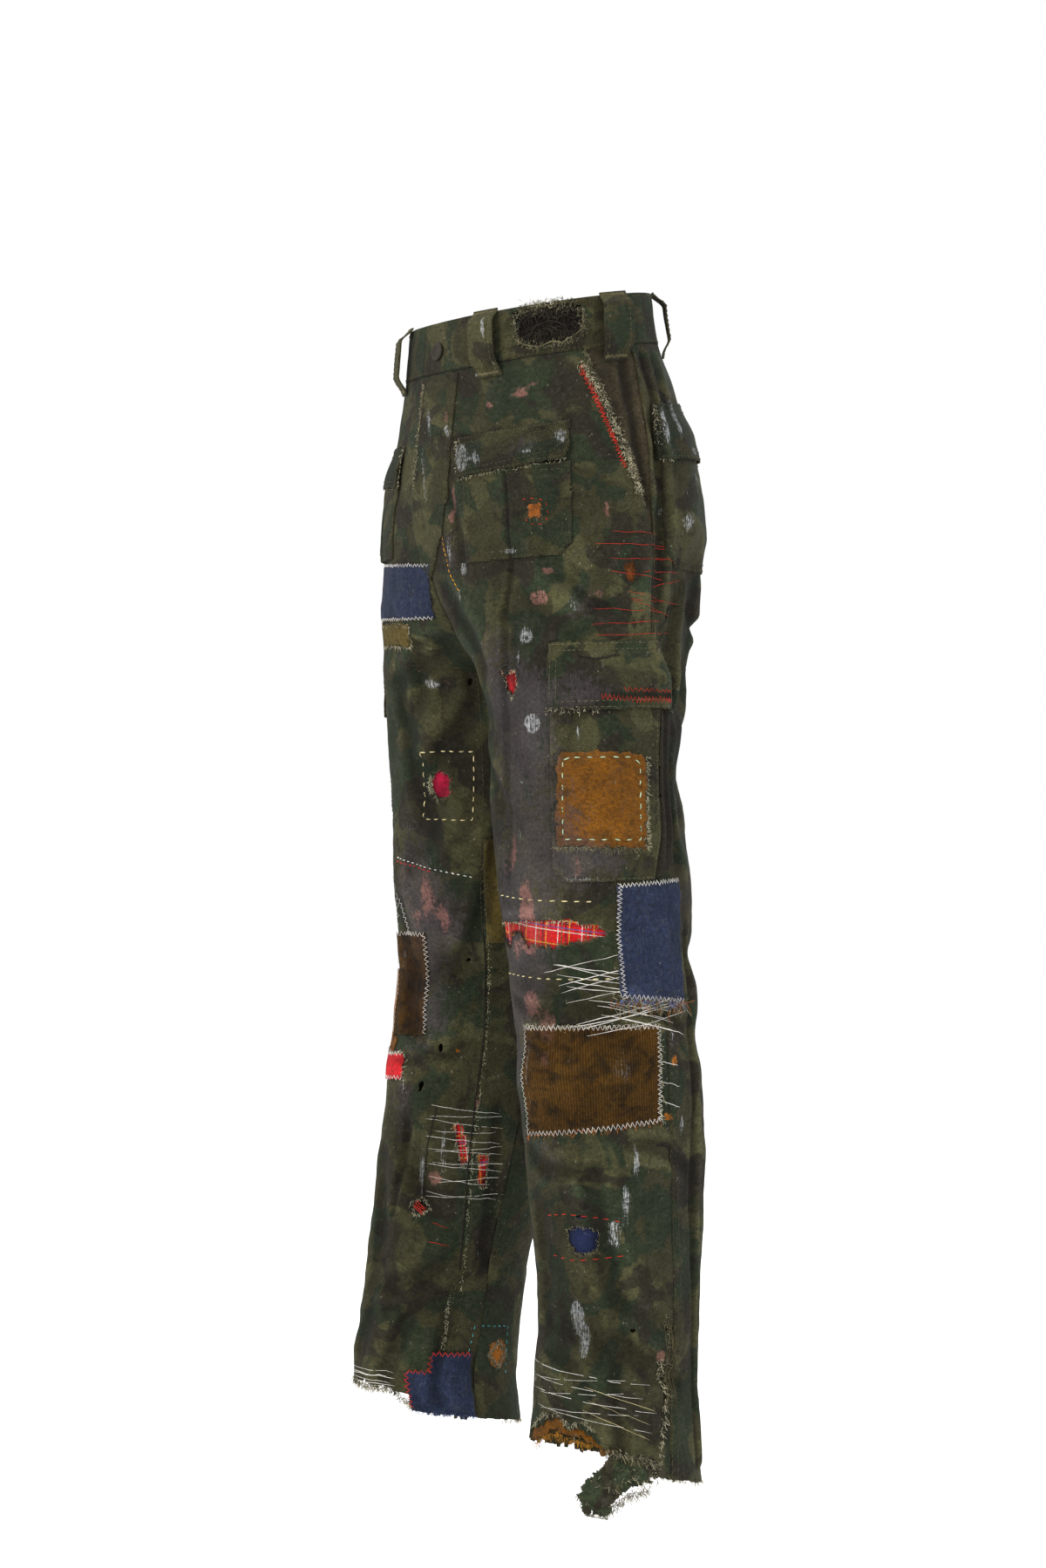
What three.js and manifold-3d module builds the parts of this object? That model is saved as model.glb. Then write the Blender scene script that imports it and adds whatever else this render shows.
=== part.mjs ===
// Cargo pants, worn and patched, held open at the waist as if on a figure.
// Millimetres. +Z up, front faces -Y, the wearer's left is +X.
// The origin is the centre of the waist ring, level with the waistband's lower seam.
import * as THREE from "three";
import Module from "manifold-3d";

// ---------------------------------------------------------------- driving dimensions
const WALL = 1.6;          // trouser cloth, drill with its dirt and paint
const BAND_WALL = 2.4;     // waistband, two layers and a stiffener
const PATCH_WALL = 1.2;    // patches, pockets, flaps
const LAY = 0.5;           // clearance between a piece and the panel it lies on
const SEAM = 0.3;          // gap between pieces that are sewn edge to edge
const OUTSEAM_AT = 14;     // the outseam lies this far behind the widest line
const BAND_HEIGHT = 47;
const HEM_LEVEL = -1008;
const FLY_LAP = 22;        // the left front laps this far over the right
const FLY_WIDTH = 38;      // topstitched width of the fly on the left front
const BUTTON_R = 8.5;
const TIDY = 0.14;         // slivers finer than this are merged

// Body sections, as level, outer and inner half-width, centre, front and back depth, and
// tilt (rise of the section towards the back). A negative inner width is past the middle,
// so left and right meet there. shift and front2 are the right leg's step back and its
// extra depth at the front.
const SECTIONS = [
  // level outer inner centre front back tilt shift front2
  [70, 141, -141, 2, 98, 91, 0.16, 0, 0],
  [4, 148, -148, 2, 103, 101, 0.16, 0, 0],
  [-40, 158, -156, 4, 109, 117, 0.13, 0, 0],
  [-100, 170, -154, 5, 115, 131, 0.07, 0, 0],
  [-150, 176, -131, 5, 116, 136, 0.02, 0, 0],
  [-205, 178, -98, 5, 114, 131, 0, 0, 0],
  [-240, 178, -54, 4, 108, 118, 0, 0, 0],
  [-265, 178, -28, 3, 102, 108, 0, 1, 0],
  [-290, 178, 1.2, 2, 97, 102, 0, 2, 0],
  [-325, 179, 7, 2, 94, 96, 0, 4, 0],
  [-385, 182, 16, 1, 92, 86, 0, 10, 0],
  [-475, 187, 29, 3, 91, 88, 0, 18, 3],
  [-560, 189, 39, 8, 88, 87, 0, 24, 8],
  [-635, 192, 48, 11, 87, 88, 0, 22, 13],
  [-715, 196, 56, 12, 84, 86, 0, 12, 17],
  [-790, 200, 64, 11, 79, 81, 0, -1, 15],
  [-870, 204, 72, 10, 74, 75, -0.03, -12, 14],
  [-950, 210, 78, 2, 77, 77, -0.12, -14, 11],
  [-1012, 216, 82, -2, 82, 82, -0.2, -7, 4],
  [-1050, 218, 84, -4, 83, 83, -0.22, -5, 3],
].map(([level, outer, inner, centre, front, back, tilt, shift, front2]) =>
  ({ level, outer, inner, centre, front, back, tilt, shift, front2 }));

// Largest folds, each a soft trough (negative depth) or ridge along a line on the cloth.
// s is the distance round from the widest line, - to the front and + to the back.
const FOLDS = [
  // side  s0    v0    s1    v1  halfWidth depth
  [1, -122, -190, -134, -500, 16, -3.5],
  [1, 48, -205, 40, -470, 15, -7],
  [1, 82, -190, 70, -440, 15, -7],
  [1, -238, -282, -150, -350, 17, -5],
  [1, -236, -330, -120, -440, 18, -4],
  [1, 150, -262, 60, -330, 18, -5],
  [1, 200, -285, 90, -390, 18, -5],
  [1, -160, -560, -40, -600, 17, -4],
  [1, -150, -660, -20, -640, 18, 4],
  [1, 60, -540, 180, -590, 17, -6],
  [1, 55, -620, 190, -640, 18, -5],
  [1, -110, -740, -96, -900, 16, -4],
  [1, 40, -720, 60, -930, 17, -4],
  [1, -90, -880, 40, -930, 17, -4],
  [-1, -235, -285, -130, -350, 17, -5],
  [-1, -232, -330, -150, -470, 18, -5],
  [-1, 55, -205, 46, -470, 15, -6],
  [-1, 150, -262, 60, -330, 18, -5],
  [-1, 200, -285, 90, -390, 18, -5],
  [-1, -225, -560, -120, -590, 17, -5],
  [-1, -215, -640, -110, -668, 17, 4],
  [-1, 60, -540, 180, -590, 17, -6],
  [-1, -150, -715, -182, -800, 15, -6],
  [-1, -120, -760, -150, -900, 16, -4],
  [-1, -200, -880, -90, -930, 17, -4],
  [-1, 60, -700, 90, -930, 17, -4],
].map(([side, s0, v0, s1, v1, halfWidth, depth]) => ({ side, s0, v0, s1, v1, halfWidth, depth }));

// Levels of the cloth lattice, and its lines round the front and the back as shares of
// the way from the widest line to the middle or inner seam.
const LEVELS = [0, -40, -85, -130, -170, -200, -224, -244, -260, -274, -283.5, -289, -292, -318, -360, -405,
  -450, -495, -540, -585, -625, -665, -715, -765, -815, -865, -910, -950, -985, HEM_LEVEL];
const FRONT_SHARES = [1, 0.87, 0.74, 0.61, 0.48, 0.35, 0.22, 0.1, 0];
const BACK_SHARES = [0.18, 0.34, 0.5, 0.66, 0.83, 1];

// ---------------------------------------------------------------- form of the cloth
// Smooth curve through a table's column, without overshoot.
function column(name, level) {
  const rows = SECTIONS, n = rows.length;
  const slope = (i) => (rows[i + 1][name] - rows[i][name]) / (rows[i + 1].level - rows[i].level);
  const bend = (i) => {
    if (i === 0) return slope(0);
    if (i === n - 1) return slope(n - 2);
    const a = slope(i - 1), b = slope(i);
    return a * b <= 0 ? 0 : (2 * a * b) / (a + b);
  };
  let i = 0;
  while (i < n - 2 && level < rows[i + 1].level) i++;
  const h = rows[i + 1].level - rows[i].level, t = (level - rows[i].level) / h;
  return rows[i][name] * (1 + 2 * t) * (1 - t) ** 2 + bend(i) * h * t * (1 - t) ** 2 +
    rows[i + 1][name] * t * t * (3 - 2 * t) - bend(i + 1) * h * t * t * (1 - t);
}

// One section of one side, as its ellipse, and points spaced evenly along its front and back.
const sectionStore = new Map();
function section(side, level, middle) {
  const key = `${side},${level.toFixed(3)},${middle}`;
  if (sectionStore.has(key)) return sectionStore.get(key);
  const at = (name) => column(name, level);
  const outer = at("outer"), inner = at("inner");
  const a = (outer - inner) / 2, cx = (outer + inner) / 2;
  const cy = at("centre") + (side < 0 ? at("shift") : 0);
  const tilt = at("tilt");
  const clampedAcos = (x) => Math.acos(Math.max(-1, Math.min(1, (x - cx) / a)));
  const half = (depth, sign) => {
    let edge = clampedAcos(middle);
    const nx = Math.abs(Math.cos(edge) * depth) / Math.hypot(Math.cos(edge) * depth, Math.sin(edge) * a);
    edge = Math.min(clampedAcos(middle + (middle > 0 ? WALL / 2 * nx : 0)), Math.PI - SEAM / 2 / depth);
    const steps = 200, points = [];
    let length = 0, last = null;
    for (let k = 0; k <= steps; k++) {
      const th = edge * k / steps;
      const p = [cx + a * Math.cos(th), cy + sign * depth * Math.sin(th)];
      if (last) length += Math.hypot(p[0] - last[0], p[1] - last[1]);
      points.push([length, p[0], p[1]]);
      last = p;
    }
    return { length, points };
  };
  const front = half(at("front") + (side < 0 ? at("front2") : 0), -1), back = half(at("back"), 1);
  const result = { side, level, cy, tilt, front, back };
  sectionStore.set(key, result);
  return result;
}

// Point of the smooth form, without folds.
function formPoint(side, s, level, middle) {
  const sec = section(side, level, middle);
  const arc = s < 0 ? sec.front : sec.back;
  const d = Math.min(Math.abs(s), arc.length);
  const k = Math.min(arc.points.length - 2, Math.max(0, Math.floor(d / arc.length * (arc.points.length - 1))));
  let i = k;
  while (i > 0 && arc.points[i][0] > d) i--;
  while (i < arc.points.length - 2 && arc.points[i + 1][0] < d) i++;
  const [l0, x0, y0] = arc.points[i], [l1, x1, y1] = arc.points[i + 1];
  const t = (d - l0) / (l1 - l0), y = y0 + (y1 - y0) * t;
  return [side * (x0 + (x1 - x0) * t), y, level + sec.tilt * (y - sec.cy)];
}

function reach(side, sign, level, middle) {
  const sec = section(side, level, middle);
  return sign < 0 ? sec.front.length : sec.back.length;
}

const minus = (p, q) => [p[0] - q[0], p[1] - q[1], p[2] - q[2]];
const cross = (p, q) => [p[1] * q[2] - p[2] * q[1], p[2] * q[0] - p[0] * q[2], p[0] * q[1] - p[1] * q[0]];
const along = (p, n, d) => [p[0] + n[0] * d, p[1] + n[1] * d, p[2] + n[2] * d];
const smooth = (t) => { const c = Math.max(0, Math.min(1, t)); return c * c * (3 - 2 * c); };

// Outward normal of the smooth form.
function formNormal(side, s, level, middle) {
  const sign = s < 0 ? -1 : 1, share = Math.abs(s) / reach(side, sign, level, middle);
  const at = (ds, dv) => {
    const full = reach(side, sign, level + dv, middle);
    const f = Math.max(0, Math.min(1, share)) * full;
    return formPoint(side, Math.min(full, Math.max(0, f + sign * ds)) * sign || (sign < 0 ? -1e-6 : 0), level + dv, middle);
  };
  const across = minus(at(2, 0), at(-2, 0)), up = minus(at(0, 2), at(0, -2));
  const n = cross(across, up).map((q) => q * side), size = Math.hypot(...n);
  return n.map((q) => q / size);
}

function foldDepth(side, s, level) {
  let sum = 0;
  for (const f of FOLDS) {
    if (f.side !== side) continue;
    const ds = f.s1 - f.s0, dv = f.v1 - f.v0, length = Math.hypot(ds, dv);
    const t = ((s - f.s0) * ds + (level - f.v0) * dv) / length;
    const w = ((s - f.s0) * dv - (level - f.v0) * ds) / length;
    const ends = smooth((t + 30) / 60) * smooth((length + 30 - t) / 60);
    if (ends > 0) sum += f.depth * ends * Math.exp(-((w / f.halfWidth) ** 2));
  }
  return sum * smooth((-level - 40) / 60) * smooth((level + 1000) / 40);
}

// Point on the cloth: s round from the widest line, level down, out from the wall's middle.
function cloth(side, s, level, out, middle = SEAM / 2) {
  return along(formPoint(side, s, level, middle), formNormal(side, s, level, middle), out + foldDepth(side, s, level));
}

// ---------------------------------------------------------------- solids
let manifold, Manifold, MeshGL;

function toSolid(points, triangles) {
  const mesh = new MeshGL({
    numProp: 3,
    vertProperties: new Float32Array(points.flat()),
    triVerts: new Uint32Array(triangles.flat()),
  });
  mesh.merge();
  const solid = new Manifold(mesh);
  return solid.volume() < 0 ? new Manifold(new MeshGL({
    numProp: 3, vertProperties: mesh.vertProperties, triVerts: Uint32Array.from(mesh.triVerts).reverse(),
    mergeFromVert: mesh.mergeFromVert, mergeToVert: mesh.mergeToVert,
  })) : solid;
}

// Closed wall between two offsets of the cloth, over lines round and levels down.
// lines: functions level -> s. inside and outside: functions (s, level) -> offset.
function wall(side, lines, levels, inside, outside, middle) {
  const points = [], nu = lines.length, nv = levels.length;
  for (const offset of [outside, inside]) {
    for (const level of levels) {
      for (const line of lines) {
        const s = line(level);
        points.push(cloth(side, s, level, offset(s, level), middle));
      }
    }
  }
  const layer = nu * nv, triangles = [];
  const quad = (a, b, c, d) => triangles.push([a, b, c], [a, c, d]);
  for (let j = 0; j < nv - 1; j++) {
    for (let i = 0; i < nu - 1; i++) {
      const a = j * nu + i;
      quad(a, a + nu, a + nu + 1, a + 1);
      quad(layer + a, layer + a + 1, layer + a + nu + 1, layer + a + nu);
    }
  }
  const rim = [];
  for (let i = 0; i < nu - 1; i++) rim.push(i);
  for (let j = 0; j < nv - 1; j++) rim.push(j * nu + nu - 1);
  for (let i = nu - 1; i > 0; i--) rim.push((nv - 1) * nu + i);
  for (let j = nv - 1; j > 0; j--) rim.push(j * nu);
  rim.forEach((a, k) => {
    const b = rim[(k + 1) % rim.length];
    quad(a, b, layer + b, layer + a);
  });
  return toSolid(points, triangles);
}

const frontLine = (side, share, middle) => (level) => -share * reach(side, -1, level, middle) || -1e-6;
const backLine = (side, share, middle) => (level) => share * reach(side, 1, level, middle);

// The lattice's lines between two values of s at a level; all pieces share them, so that
// what lies on a panel has the panel's own facets, moved out.
function latticeLines(side, from, to, level, middle = SEAM / 2) {
  const all = [...FRONT_SHARES.map((f) => frontLine(side, f, middle)), () => OUTSEAM_AT,
    ...BACK_SHARES.map((f) => backLine(side, f, middle))];
  let first = 0, last = all.length - 1;
  while (first < all.length - 2 && all[first + 1](level) < from) first++;
  while (last > 1 && all[last - 1](level) > to) last--;
  return all.slice(first, last + 1);
}

function latticeLevels(top, bottom, extra = []) {
  const all = [...new Set([...LEVELS, ...extra])].sort((a, b) => b - a);
  const first = Math.max(0, all.findLastIndex((v) => v >= top));
  const after = all.findIndex((v) => v <= bottom);
  return all.slice(first, (after < 0 ? all.length - 1 : after) + 1);
}

// Cutter: an outline in s and level, as a block through the cloth and well past it.
function cutter(side, outline, inward = 25, outward = 60) {
  const ring = [];
  outline.forEach(([s, v], i) => {
    const [s2, v2] = outline[(i + 1) % outline.length];
    const steps = Math.max(1, Math.ceil(Math.abs(s2 - s) / 20), Math.ceil(Math.abs(v2 - v) / 45));
    for (let k = 0; k < steps; k++) ring.push([s + (s2 - s) * k / steps, v + (v2 - v) * k / steps]);
  });
  const flat = ring.map(([s, v]) => new THREE.Vector2(s, v));
  const faces = THREE.ShapeUtils.triangulateShape(flat, []);
  const points = [];
  for (const out of [outward, -inward]) {
    for (const [s, v] of ring) {
      points.push(along(formPoint(side, s, v, SEAM / 2), formNormal(side, s, v, SEAM / 2), out));
    }
  }
  const n = ring.length, triangles = [];
  for (const [a, b, c] of faces) triangles.push([a, b, c], [n + c, n + b, n + a]);
  const turn = THREE.ShapeUtils.isClockWise(flat) ? -1 : 1;
  for (let i = 0; i < n; i++) {
    const j = (i + 1) % n;
    const side4 = turn > 0 ? [[i, n + i, n + j], [i, n + j, j]] : [[i, n + j, n + i], [i, j, n + j]];
    triangles.push(...side4);
  }
  return toSolid(points, triangles);
}

// A piece that lies on the cloth inside an outline; inside is its distance from the middle
// of the wall, and extra adds lattice levels where the piece bends.
function piece(side, outline, inside, thick = PATCH_WALL, extra = []) {
  const ss = outline.map((p) => p[0]), vs = outline.map((p) => p[1]);
  const mid = (Math.max(...vs) + Math.min(...vs)) / 2;
  const lines = latticeLines(side, Math.min(...ss) - 12, Math.max(...ss) + 12, mid);
  const levels = latticeLevels(Math.max(...vs) + 2, Math.min(...vs) - 2, extra);
  const inner = typeof inside === "function" ? inside : () => inside;
  return wall(side, lines, levels, inner, (s, v) => inner(s, v) + thick).intersect(cutter(side, outline));
}

const box = (x0, y0, z0, x1, y1, z1) => Manifold.cube([x1 - x0, y1 - y0, z1 - z0]).translate([x0, y0, z0]);

// ---------------------------------------------------------------- tables of pieces
const ON = WALL / 2 + LAY;                       // inside face of a piece on a panel
const UNDER = -(WALL / 2 + LAY + PATCH_WALL);    // inside face of a piece behind a panel
const OVER = ON + PATCH_WALL + LAY;              // inside face of a flap on its pocket

// Holes worn or cut through the cloth: the panel they are in, and their outline in s, level.
const HOLES = [
  { panel: "front_left", outline: [[-134, -291], [-128, -296], [-116, -291], [-114, -306], [-121, -318], [-131, -306]] },
  { panel: "front_left", outline: [[-166, -519], [-120, -516], [-44, -515], [-44, -530], [-90, -538], [-140, -541], [-150, -530], [-164, -541]] },
  { panel: "front_left", outline: [[-86, -787], [-72, -783], [-56, -788], [-58, -806], [-74, -808], [-84, -801]] },
  { panel: "front_left", outline: [[-124, -962], [-90, -958], [-52, -968], [-54, -994], [-88, -990], [-116, -986]] },
  { panel: "front_left", outline: [[-16, -197], [-7, -194], [-3, -204], [-6, -214], [-14, -212]] },
  { panel: "front_right", outline: [[-196, -386], [-186, -381], [-177, -389], [-176, -402], [-185, -410], [-195, -404]] },
  { panel: "front_right", outline: [[-206, -718], [-219, -720], [-220, -752], [-208, -756]] },
  { panel: "front_right", outline: [[-229, -748], [-240, -750], [-239, -780], [-228, -778]] },
];

// Sewn on: node, side, outline.
const PATCHES = [
  { node: "patch_denim_left_knee", side: 1, color: 0x2b3a63, outline: [[-27, -484], [46, -480], [38, -590], [-31, -583]] },
  { node: "patch_corduroy_left_knee", side: 1, color: 0x5a3d17, outline: [[-124, -610], [4, -608], [3, -692], [-128, -706]] },
  { node: "patch_denim_right_thigh", side: -1, color: 0x2b3a63, outline: [[-128, -185], [-238, -192], [-226, -240], [-130, -238]] },
  { node: "patch_olive_right_thigh", side: -1, color: 0x4d4a26, outline: [[-132, -242], [-192, -244], [-184, -264], [-130, -262]] },
  { node: "patch_corduroy_right_knee", side: -1, color: 0x5a3d17, outline: [[-108, -538], [-160, -536], [-166, -634], [-112, -636]] },
  { node: "patch_mustard_right_knee", side: -1, color: 0xa86a14, outline: [[-84, -574], [-106, -574], [-109, -638], [-132, -639], [-130, -650], [-90, -649]] },
  { node: "patch_red_right_knee", side: -1, color: 0xc01c22, outline: [[-92, -656], [-146, -653], [-150, -677], [-96, -680]] },
  { node: "patch_denim_right_hem", side: -1, color: 0x2b3a63, outline: [[-174, -963], [-198, -961], [-198, -942], [-238, -940], [-240, -1002], [-178, -1004]] },
  { node: "gusset_right_inner_thigh", side: -1, color: 0x5a4a20, outline: [[-226, -446], [-246, -446], [-238, -545], [-220, -545]] },
];

// Behind a hole: node, side, outline.
const INSETS = [
  { node: "inset_red_left_thigh", side: 1, color: 0x9a1c28, outline: [[-142, -284], [-106, -284], [-106, -326], [-142, -326]] },
  { node: "inset_tartan_left_knee", side: 1, color: 0xc8201c, outline: [[-176, -508], [-36, -506], [-36, -548], [-176, -550]] },
  { node: "inset_navy_left_shin", side: 1, color: 0x23304f, outline: [[-96, -776], [-46, -776], [-46, -816], [-96, -816]] },
  { node: "inset_mustard_left_hem", side: 1, color: 0xa86a14, outline: [[-134, -946], [-42, -946], [-42, -992], [-84, -988], [-134, -997]] },
  { node: "inset_brown_left_hip", side: 1, color: 0x6e4018, outline: [[-26, -187], [6, -187], [6, -222], [-26, -222]] },
  { node: "inset_crimson_right_thigh", side: -1, color: 0xa01838, outline: [[-206, -372], [-167, -372], [-167, -420], [-206, -420]] },
  { node: "inset_tartan_right_shin", side: -1, color: 0xc8201c, outline: [[-198, -708], [-250, -708], [-250, -792], [-198, -792]] },
];

// Belt loops: node, side and s of the middle line.
const LOOP_WIDTH = 26, LOOP_TOP = 49, LOOP_BOTTOM = -13, LOOP_STAND = 10.5;
const LOOPS = [
  { node: "belt_loop_front_left", side: 1, s: -124 },
  { node: "belt_loop_side_left", side: 1, s: -4 },
  { node: "belt_loop_back_left", side: 1, s: 92 },
  { node: "belt_loop_front_right", side: -1, s: -124 },
  { node: "belt_loop_side_right", side: -1, s: -4 },
  { node: "belt_loop_back_right", side: -1, s: 92 },
];

// Pockets of one side, in s and level.
const POCKETS = {
  mouth: [[-34, 1], [-22, -52], [-10, -100], [4, -142], [13, -174]],
  front: [[-170, -106], [-60, -103], [-63, -178], [-73, -191], [-171, -195]],
  frontRight: [[-170, -106], [-60, -103], [-63, -168], [-73, -181], [-171, -182]],
  frontFlap: [[-172, -68], [-56, -64], [-62, -101], [-174, -111]],
  back: [[32, -100], [172, -100], [172, -184], [158, -200], [46, -200], [32, -186]],
  backFlap: [[27, -54], [177, -54], [177, -104], [27, -104]],
  cargo: [[-80, -316], [14.8, -316], [12, -479], [-83, -481]],
  gusset: [[15.5, -322], [50, -326], [44, -462], [12.7, -478]],
  cargoFlap: [[-82, -269], [32, -265], [34, -327], [-82, -329]],
};

// ---------------------------------------------------------------- build
async function build() {
  manifold = await Module();
  manifold.setup();
  ({ Manifold } = manifold);
  MeshGL = manifold.Mesh;

  const group = new THREE.Group();
  group.name = "cargo_pants";
  const DRILL = 0x3a3527;
  const add = (name, solid, color = DRILL, roughness = 0.95) => {
    const mesh = solid.simplify(TIDY).getMesh();
    const geometry = new THREE.BufferGeometry();
    const positions = new Float32Array(mesh.numVert * 3);
    for (let i = 0; i < mesh.numVert; i++) {
      for (let k = 0; k < 3; k++) positions[3 * i + k] = mesh.vertProperties[i * mesh.numProp + k];
    }
    geometry.setAttribute("position", new THREE.BufferAttribute(positions, 3));
    geometry.setIndex(new THREE.BufferAttribute(Uint32Array.from(mesh.triVerts), 1));
    geometry.computeVertexNormals();
    const node = new THREE.Mesh(geometry, new THREE.MeshStandardMaterial({ color, roughness, metalness: 0 }));
    node.name = name;
    group.add(node);
  };
  const middle = () => WALL / 2;
  const inner = () => -WALL / 2;
  const lapMiddle = -0.4;      // lines that run just past the middle, for pieces that cross it

  // Fronts and backs, with the slanted pocket mouths cut out and the holes through them.
  for (const [side, name] of [[1, "left"], [-1, "right"]]) {
    const mid = SEAM / 2;
    const frontLines = [...FRONT_SHARES.map((f) => frontLine(side, f, mid)), () => OUTSEAM_AT - SEAM / 2];
    const backLines = [() => OUTSEAM_AT + SEAM / 2, ...BACK_SHARES.map((f) => backLine(side, f, mid))];
    let front = wall(side, frontLines, LEVELS, inner, middle);
    const back = wall(side, backLines, LEVELS, inner, middle);
    const mouthCut = [...POCKETS.mouth, [26, -178], [26, 12], [-34, 12]];
    front = front.subtract(cutter(side, mouthCut));
    for (const hole of HOLES.filter((h) => h.panel === `front_${name}`)) {
      front = front.subtract(cutter(side, hole.outline));
    }
    add(`front_${name}`, front);
    add(`back_${name}`, back);
    const bearer = [[-48, -1], [-36, -52], [-24, -100], [-10, -142], [0, -172], [13, -184], [26, -180], [26, -1]];
    add(`pocket_bearer_${name}`, piece(side, bearer, UNDER), 0x352f24);
  }

  // Waistband halves: the left one runs on past the middle and laps the right front.
  const bandLevels = [SEAM, 22, BAND_HEIGHT];
  bandLevels.reverse();
  const band = (side) => {
    const lines = [...FRONT_SHARES.map((f) => frontLine(side, f, lapMiddle)), () => OUTSEAM_AT,
      ...BACK_SHARES.map((f) => backLine(side, f, SEAM / 2))];
    return wall(side, lines, bandLevels, () => -BAND_WALL / 2, () => BAND_WALL / 2, lapMiddle);
  };
  const frontBox = (x0, x1) => box(x0, -200, -300, x1, -40, 100);
  const backTrim = box(-0.15, 40, -50, 0.15, 200, 120);
  const rightBand = band(-1).subtract(backTrim), leftBand = band(1).subtract(backTrim);
  let leftHalf = leftBand.add(rightBand.intersect(frontBox(-FLY_LAP, 1)));
  const bandHole = [[-94, 41], [-74, 44], [-50, 43], [-33, 38], [-32, 16], [-50, 10], [-76, 9], [-93, 17]];
  leftHalf = leftHalf.subtract(cutter(1, bandHole));
  add("waistband_left", leftHalf);
  add("waistband_right", rightBand.subtract(frontBox(-FLY_LAP - SEAM, 5)));
  add("inset_black_waistband", piece(1, [[-103, 46], [-24, 46], [-24, 3], [-103, 3]],
    -(BAND_WALL / 2 + LAY + PATCH_WALL), PATCH_WALL, [48, 22, 2]), 0x1c1a18);

  // Fly: one strip of the left front over the middle seam, curved into it at its foot.
  const flyPart = (side) => wall(side, latticeLines(side, -400, -150, -100, lapMiddle).slice(0, 4).map((line, i) =>
    i === 0 ? frontLine(side, 1, lapMiddle) : line), latticeLevels(-1, -215), () => ON, () => ON + PATCH_WALL, lapMiddle);
  const flyShape = (() => {
    const p = [[-FLY_LAP, -3], [FLY_WIDTH, -3], [FLY_WIDTH, -130], [30, -165], [14, -192], [-2, -205], [-8, -200], [-FLY_LAP, -150]];
    const shape = new manifold.CrossSection([p.map(([x, z]) => [x, z])], "NonZero");
    return shape.extrude(400).rotate([90, 0, 0]).translate([0, 0, 30]);
  })();
  add("fly_lap", flyPart(1).add(flyPart(-1)).intersect(flyShape).trimByPlane([0, -1, 0], 20));

  // Belt loops stand off the waistband, and are sewn down at both ends.
  const loopLevels = [LOOP_TOP, BAND_HEIGHT - 5, 32, 18, 1, -6, LOOP_BOTTOM];
  const onBand = BAND_WALL / 2 + LAY + 0.1, onBearer = UNDER + PATCH_WALL + 0.55;
  const loopWall = (side, lines, mid, foot = ON) => {
    const inside = (s, v) => foot + (onBand - foot) * smooth((v - LOOP_BOTTOM) / 12) +
      LOOP_STAND * Math.min(smooth((v - LOOP_BOTTOM) / 17), smooth((LOOP_TOP - v) / 14));
    return wall(side, lines, loopLevels, inside, (s, v) => inside(s, v) + WALL, mid);
  };
  const across = [-1, 0, 1].map((k) => k * LOOP_WIDTH / 2);
  for (const { node, side, s } of LOOPS) {
    add(node, loopWall(side, across.map((d) => () => s + d), SEAM / 2, Math.abs(s) < 10 ? onBearer : ON));
  }
  const halfLoop = (side) => {
    const full = (level) => reach(side, 1, level, lapMiddle);
    return loopWall(side, [(v) => full(v) - LOOP_WIDTH / 2, (v) => full(v) - 6, (v) => full(v)], lapMiddle);
  };
  add("belt_loop_center_back", halfLoop(1).add(halfLoop(-1)));

  // Pockets and flaps, on both sides.
  for (const [side, name] of [[1, "left"], [-1, "right"]]) {
    const flapRise = (top, foot) => (s, v) => ON + (OVER - ON) * smooth((top - 8 - v) / (top - foot));
    add(`front_pocket_${name}`, piece(side, side > 0 ? POCKETS.front : POCKETS.frontRight, ON));
    add(`front_flap_${name}`, piece(side, POCKETS.frontFlap, flapRise(-66, -98), PATCH_WALL, [-98]));
    const seat = (s, v) => ON + 5 * smooth((s - 32) / 40) * smooth((172 - s) / 40) * smooth((v + 200) / 40);
    add(`back_pocket_${name}`, piece(side, POCKETS.back, seat, PATCH_WALL, [-186]));
    const seatFlap = (s, v) => seat(s, Math.max(v, -150)) * smooth((-54 - v) / 30) +
      ON * (1 - smooth((-54 - v) / 30)) + (PATCH_WALL + LAY + 0.6) * smooth((-62 - v) / 24);
    add(`back_flap_${name}`, piece(side, POCKETS.backFlap, seatFlap, PATCH_WALL, [-62, -86]));

    // Cargo pocket: flat at its front edge, standing off on a folded gusset at its back edge.
    const bulge = (s, v) => 10 * smooth((s + 82) / 60) * smooth((50 - s) / 34) * smooth((v + 484) / 50);
    const cargo = (s, v) => ON + bulge(s, v);
    const levels = [-342, -474];
    add(`cargo_pocket_${name}`, piece(side, POCKETS.cargo, cargo, PATCH_WALL, levels));
    add(`cargo_gusset_${name}`, piece(side, POCKETS.gusset, cargo, PATCH_WALL, levels), 0x332c21);
    const flapOver = (s, v) => ON + (bulge(s, v) + PATCH_WALL + LAY + 0.4) * smooth((-268 - v) / 34) ;
    add(`cargo_flap_${name}`, piece(side, POCKETS.cargoFlap, flapOver, PATCH_WALL, [-268, -276, -296, -318]));
    if (side > 0) {
      const onPocket = (s, v) => cargo(s, v) + PATCH_WALL + LAY;
      add("patch_mustard_cargo_left", piece(side, [[-74, -370], [-68, -366], [-4, -367], [0, -372], [-3, -451], [-78, -449]],
        onPocket, PATCH_WALL, levels), 0xa86a14);
      add("inset_orange_front_pocket", piece(side, [[-99, -144], [-89, -144], [-89, -157], [-99, -157]],
        ON + PATCH_WALL + 0.4, 1), 0xb06018);
    }
  }

  for (const { node, side, outline, color } of PATCHES) {
    add(node, piece(side, outline, ON), color);
  }
  for (const { node, side, outline, color } of INSETS) {
    add(node, piece(side, outline, UNDER), color);
  }

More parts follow.
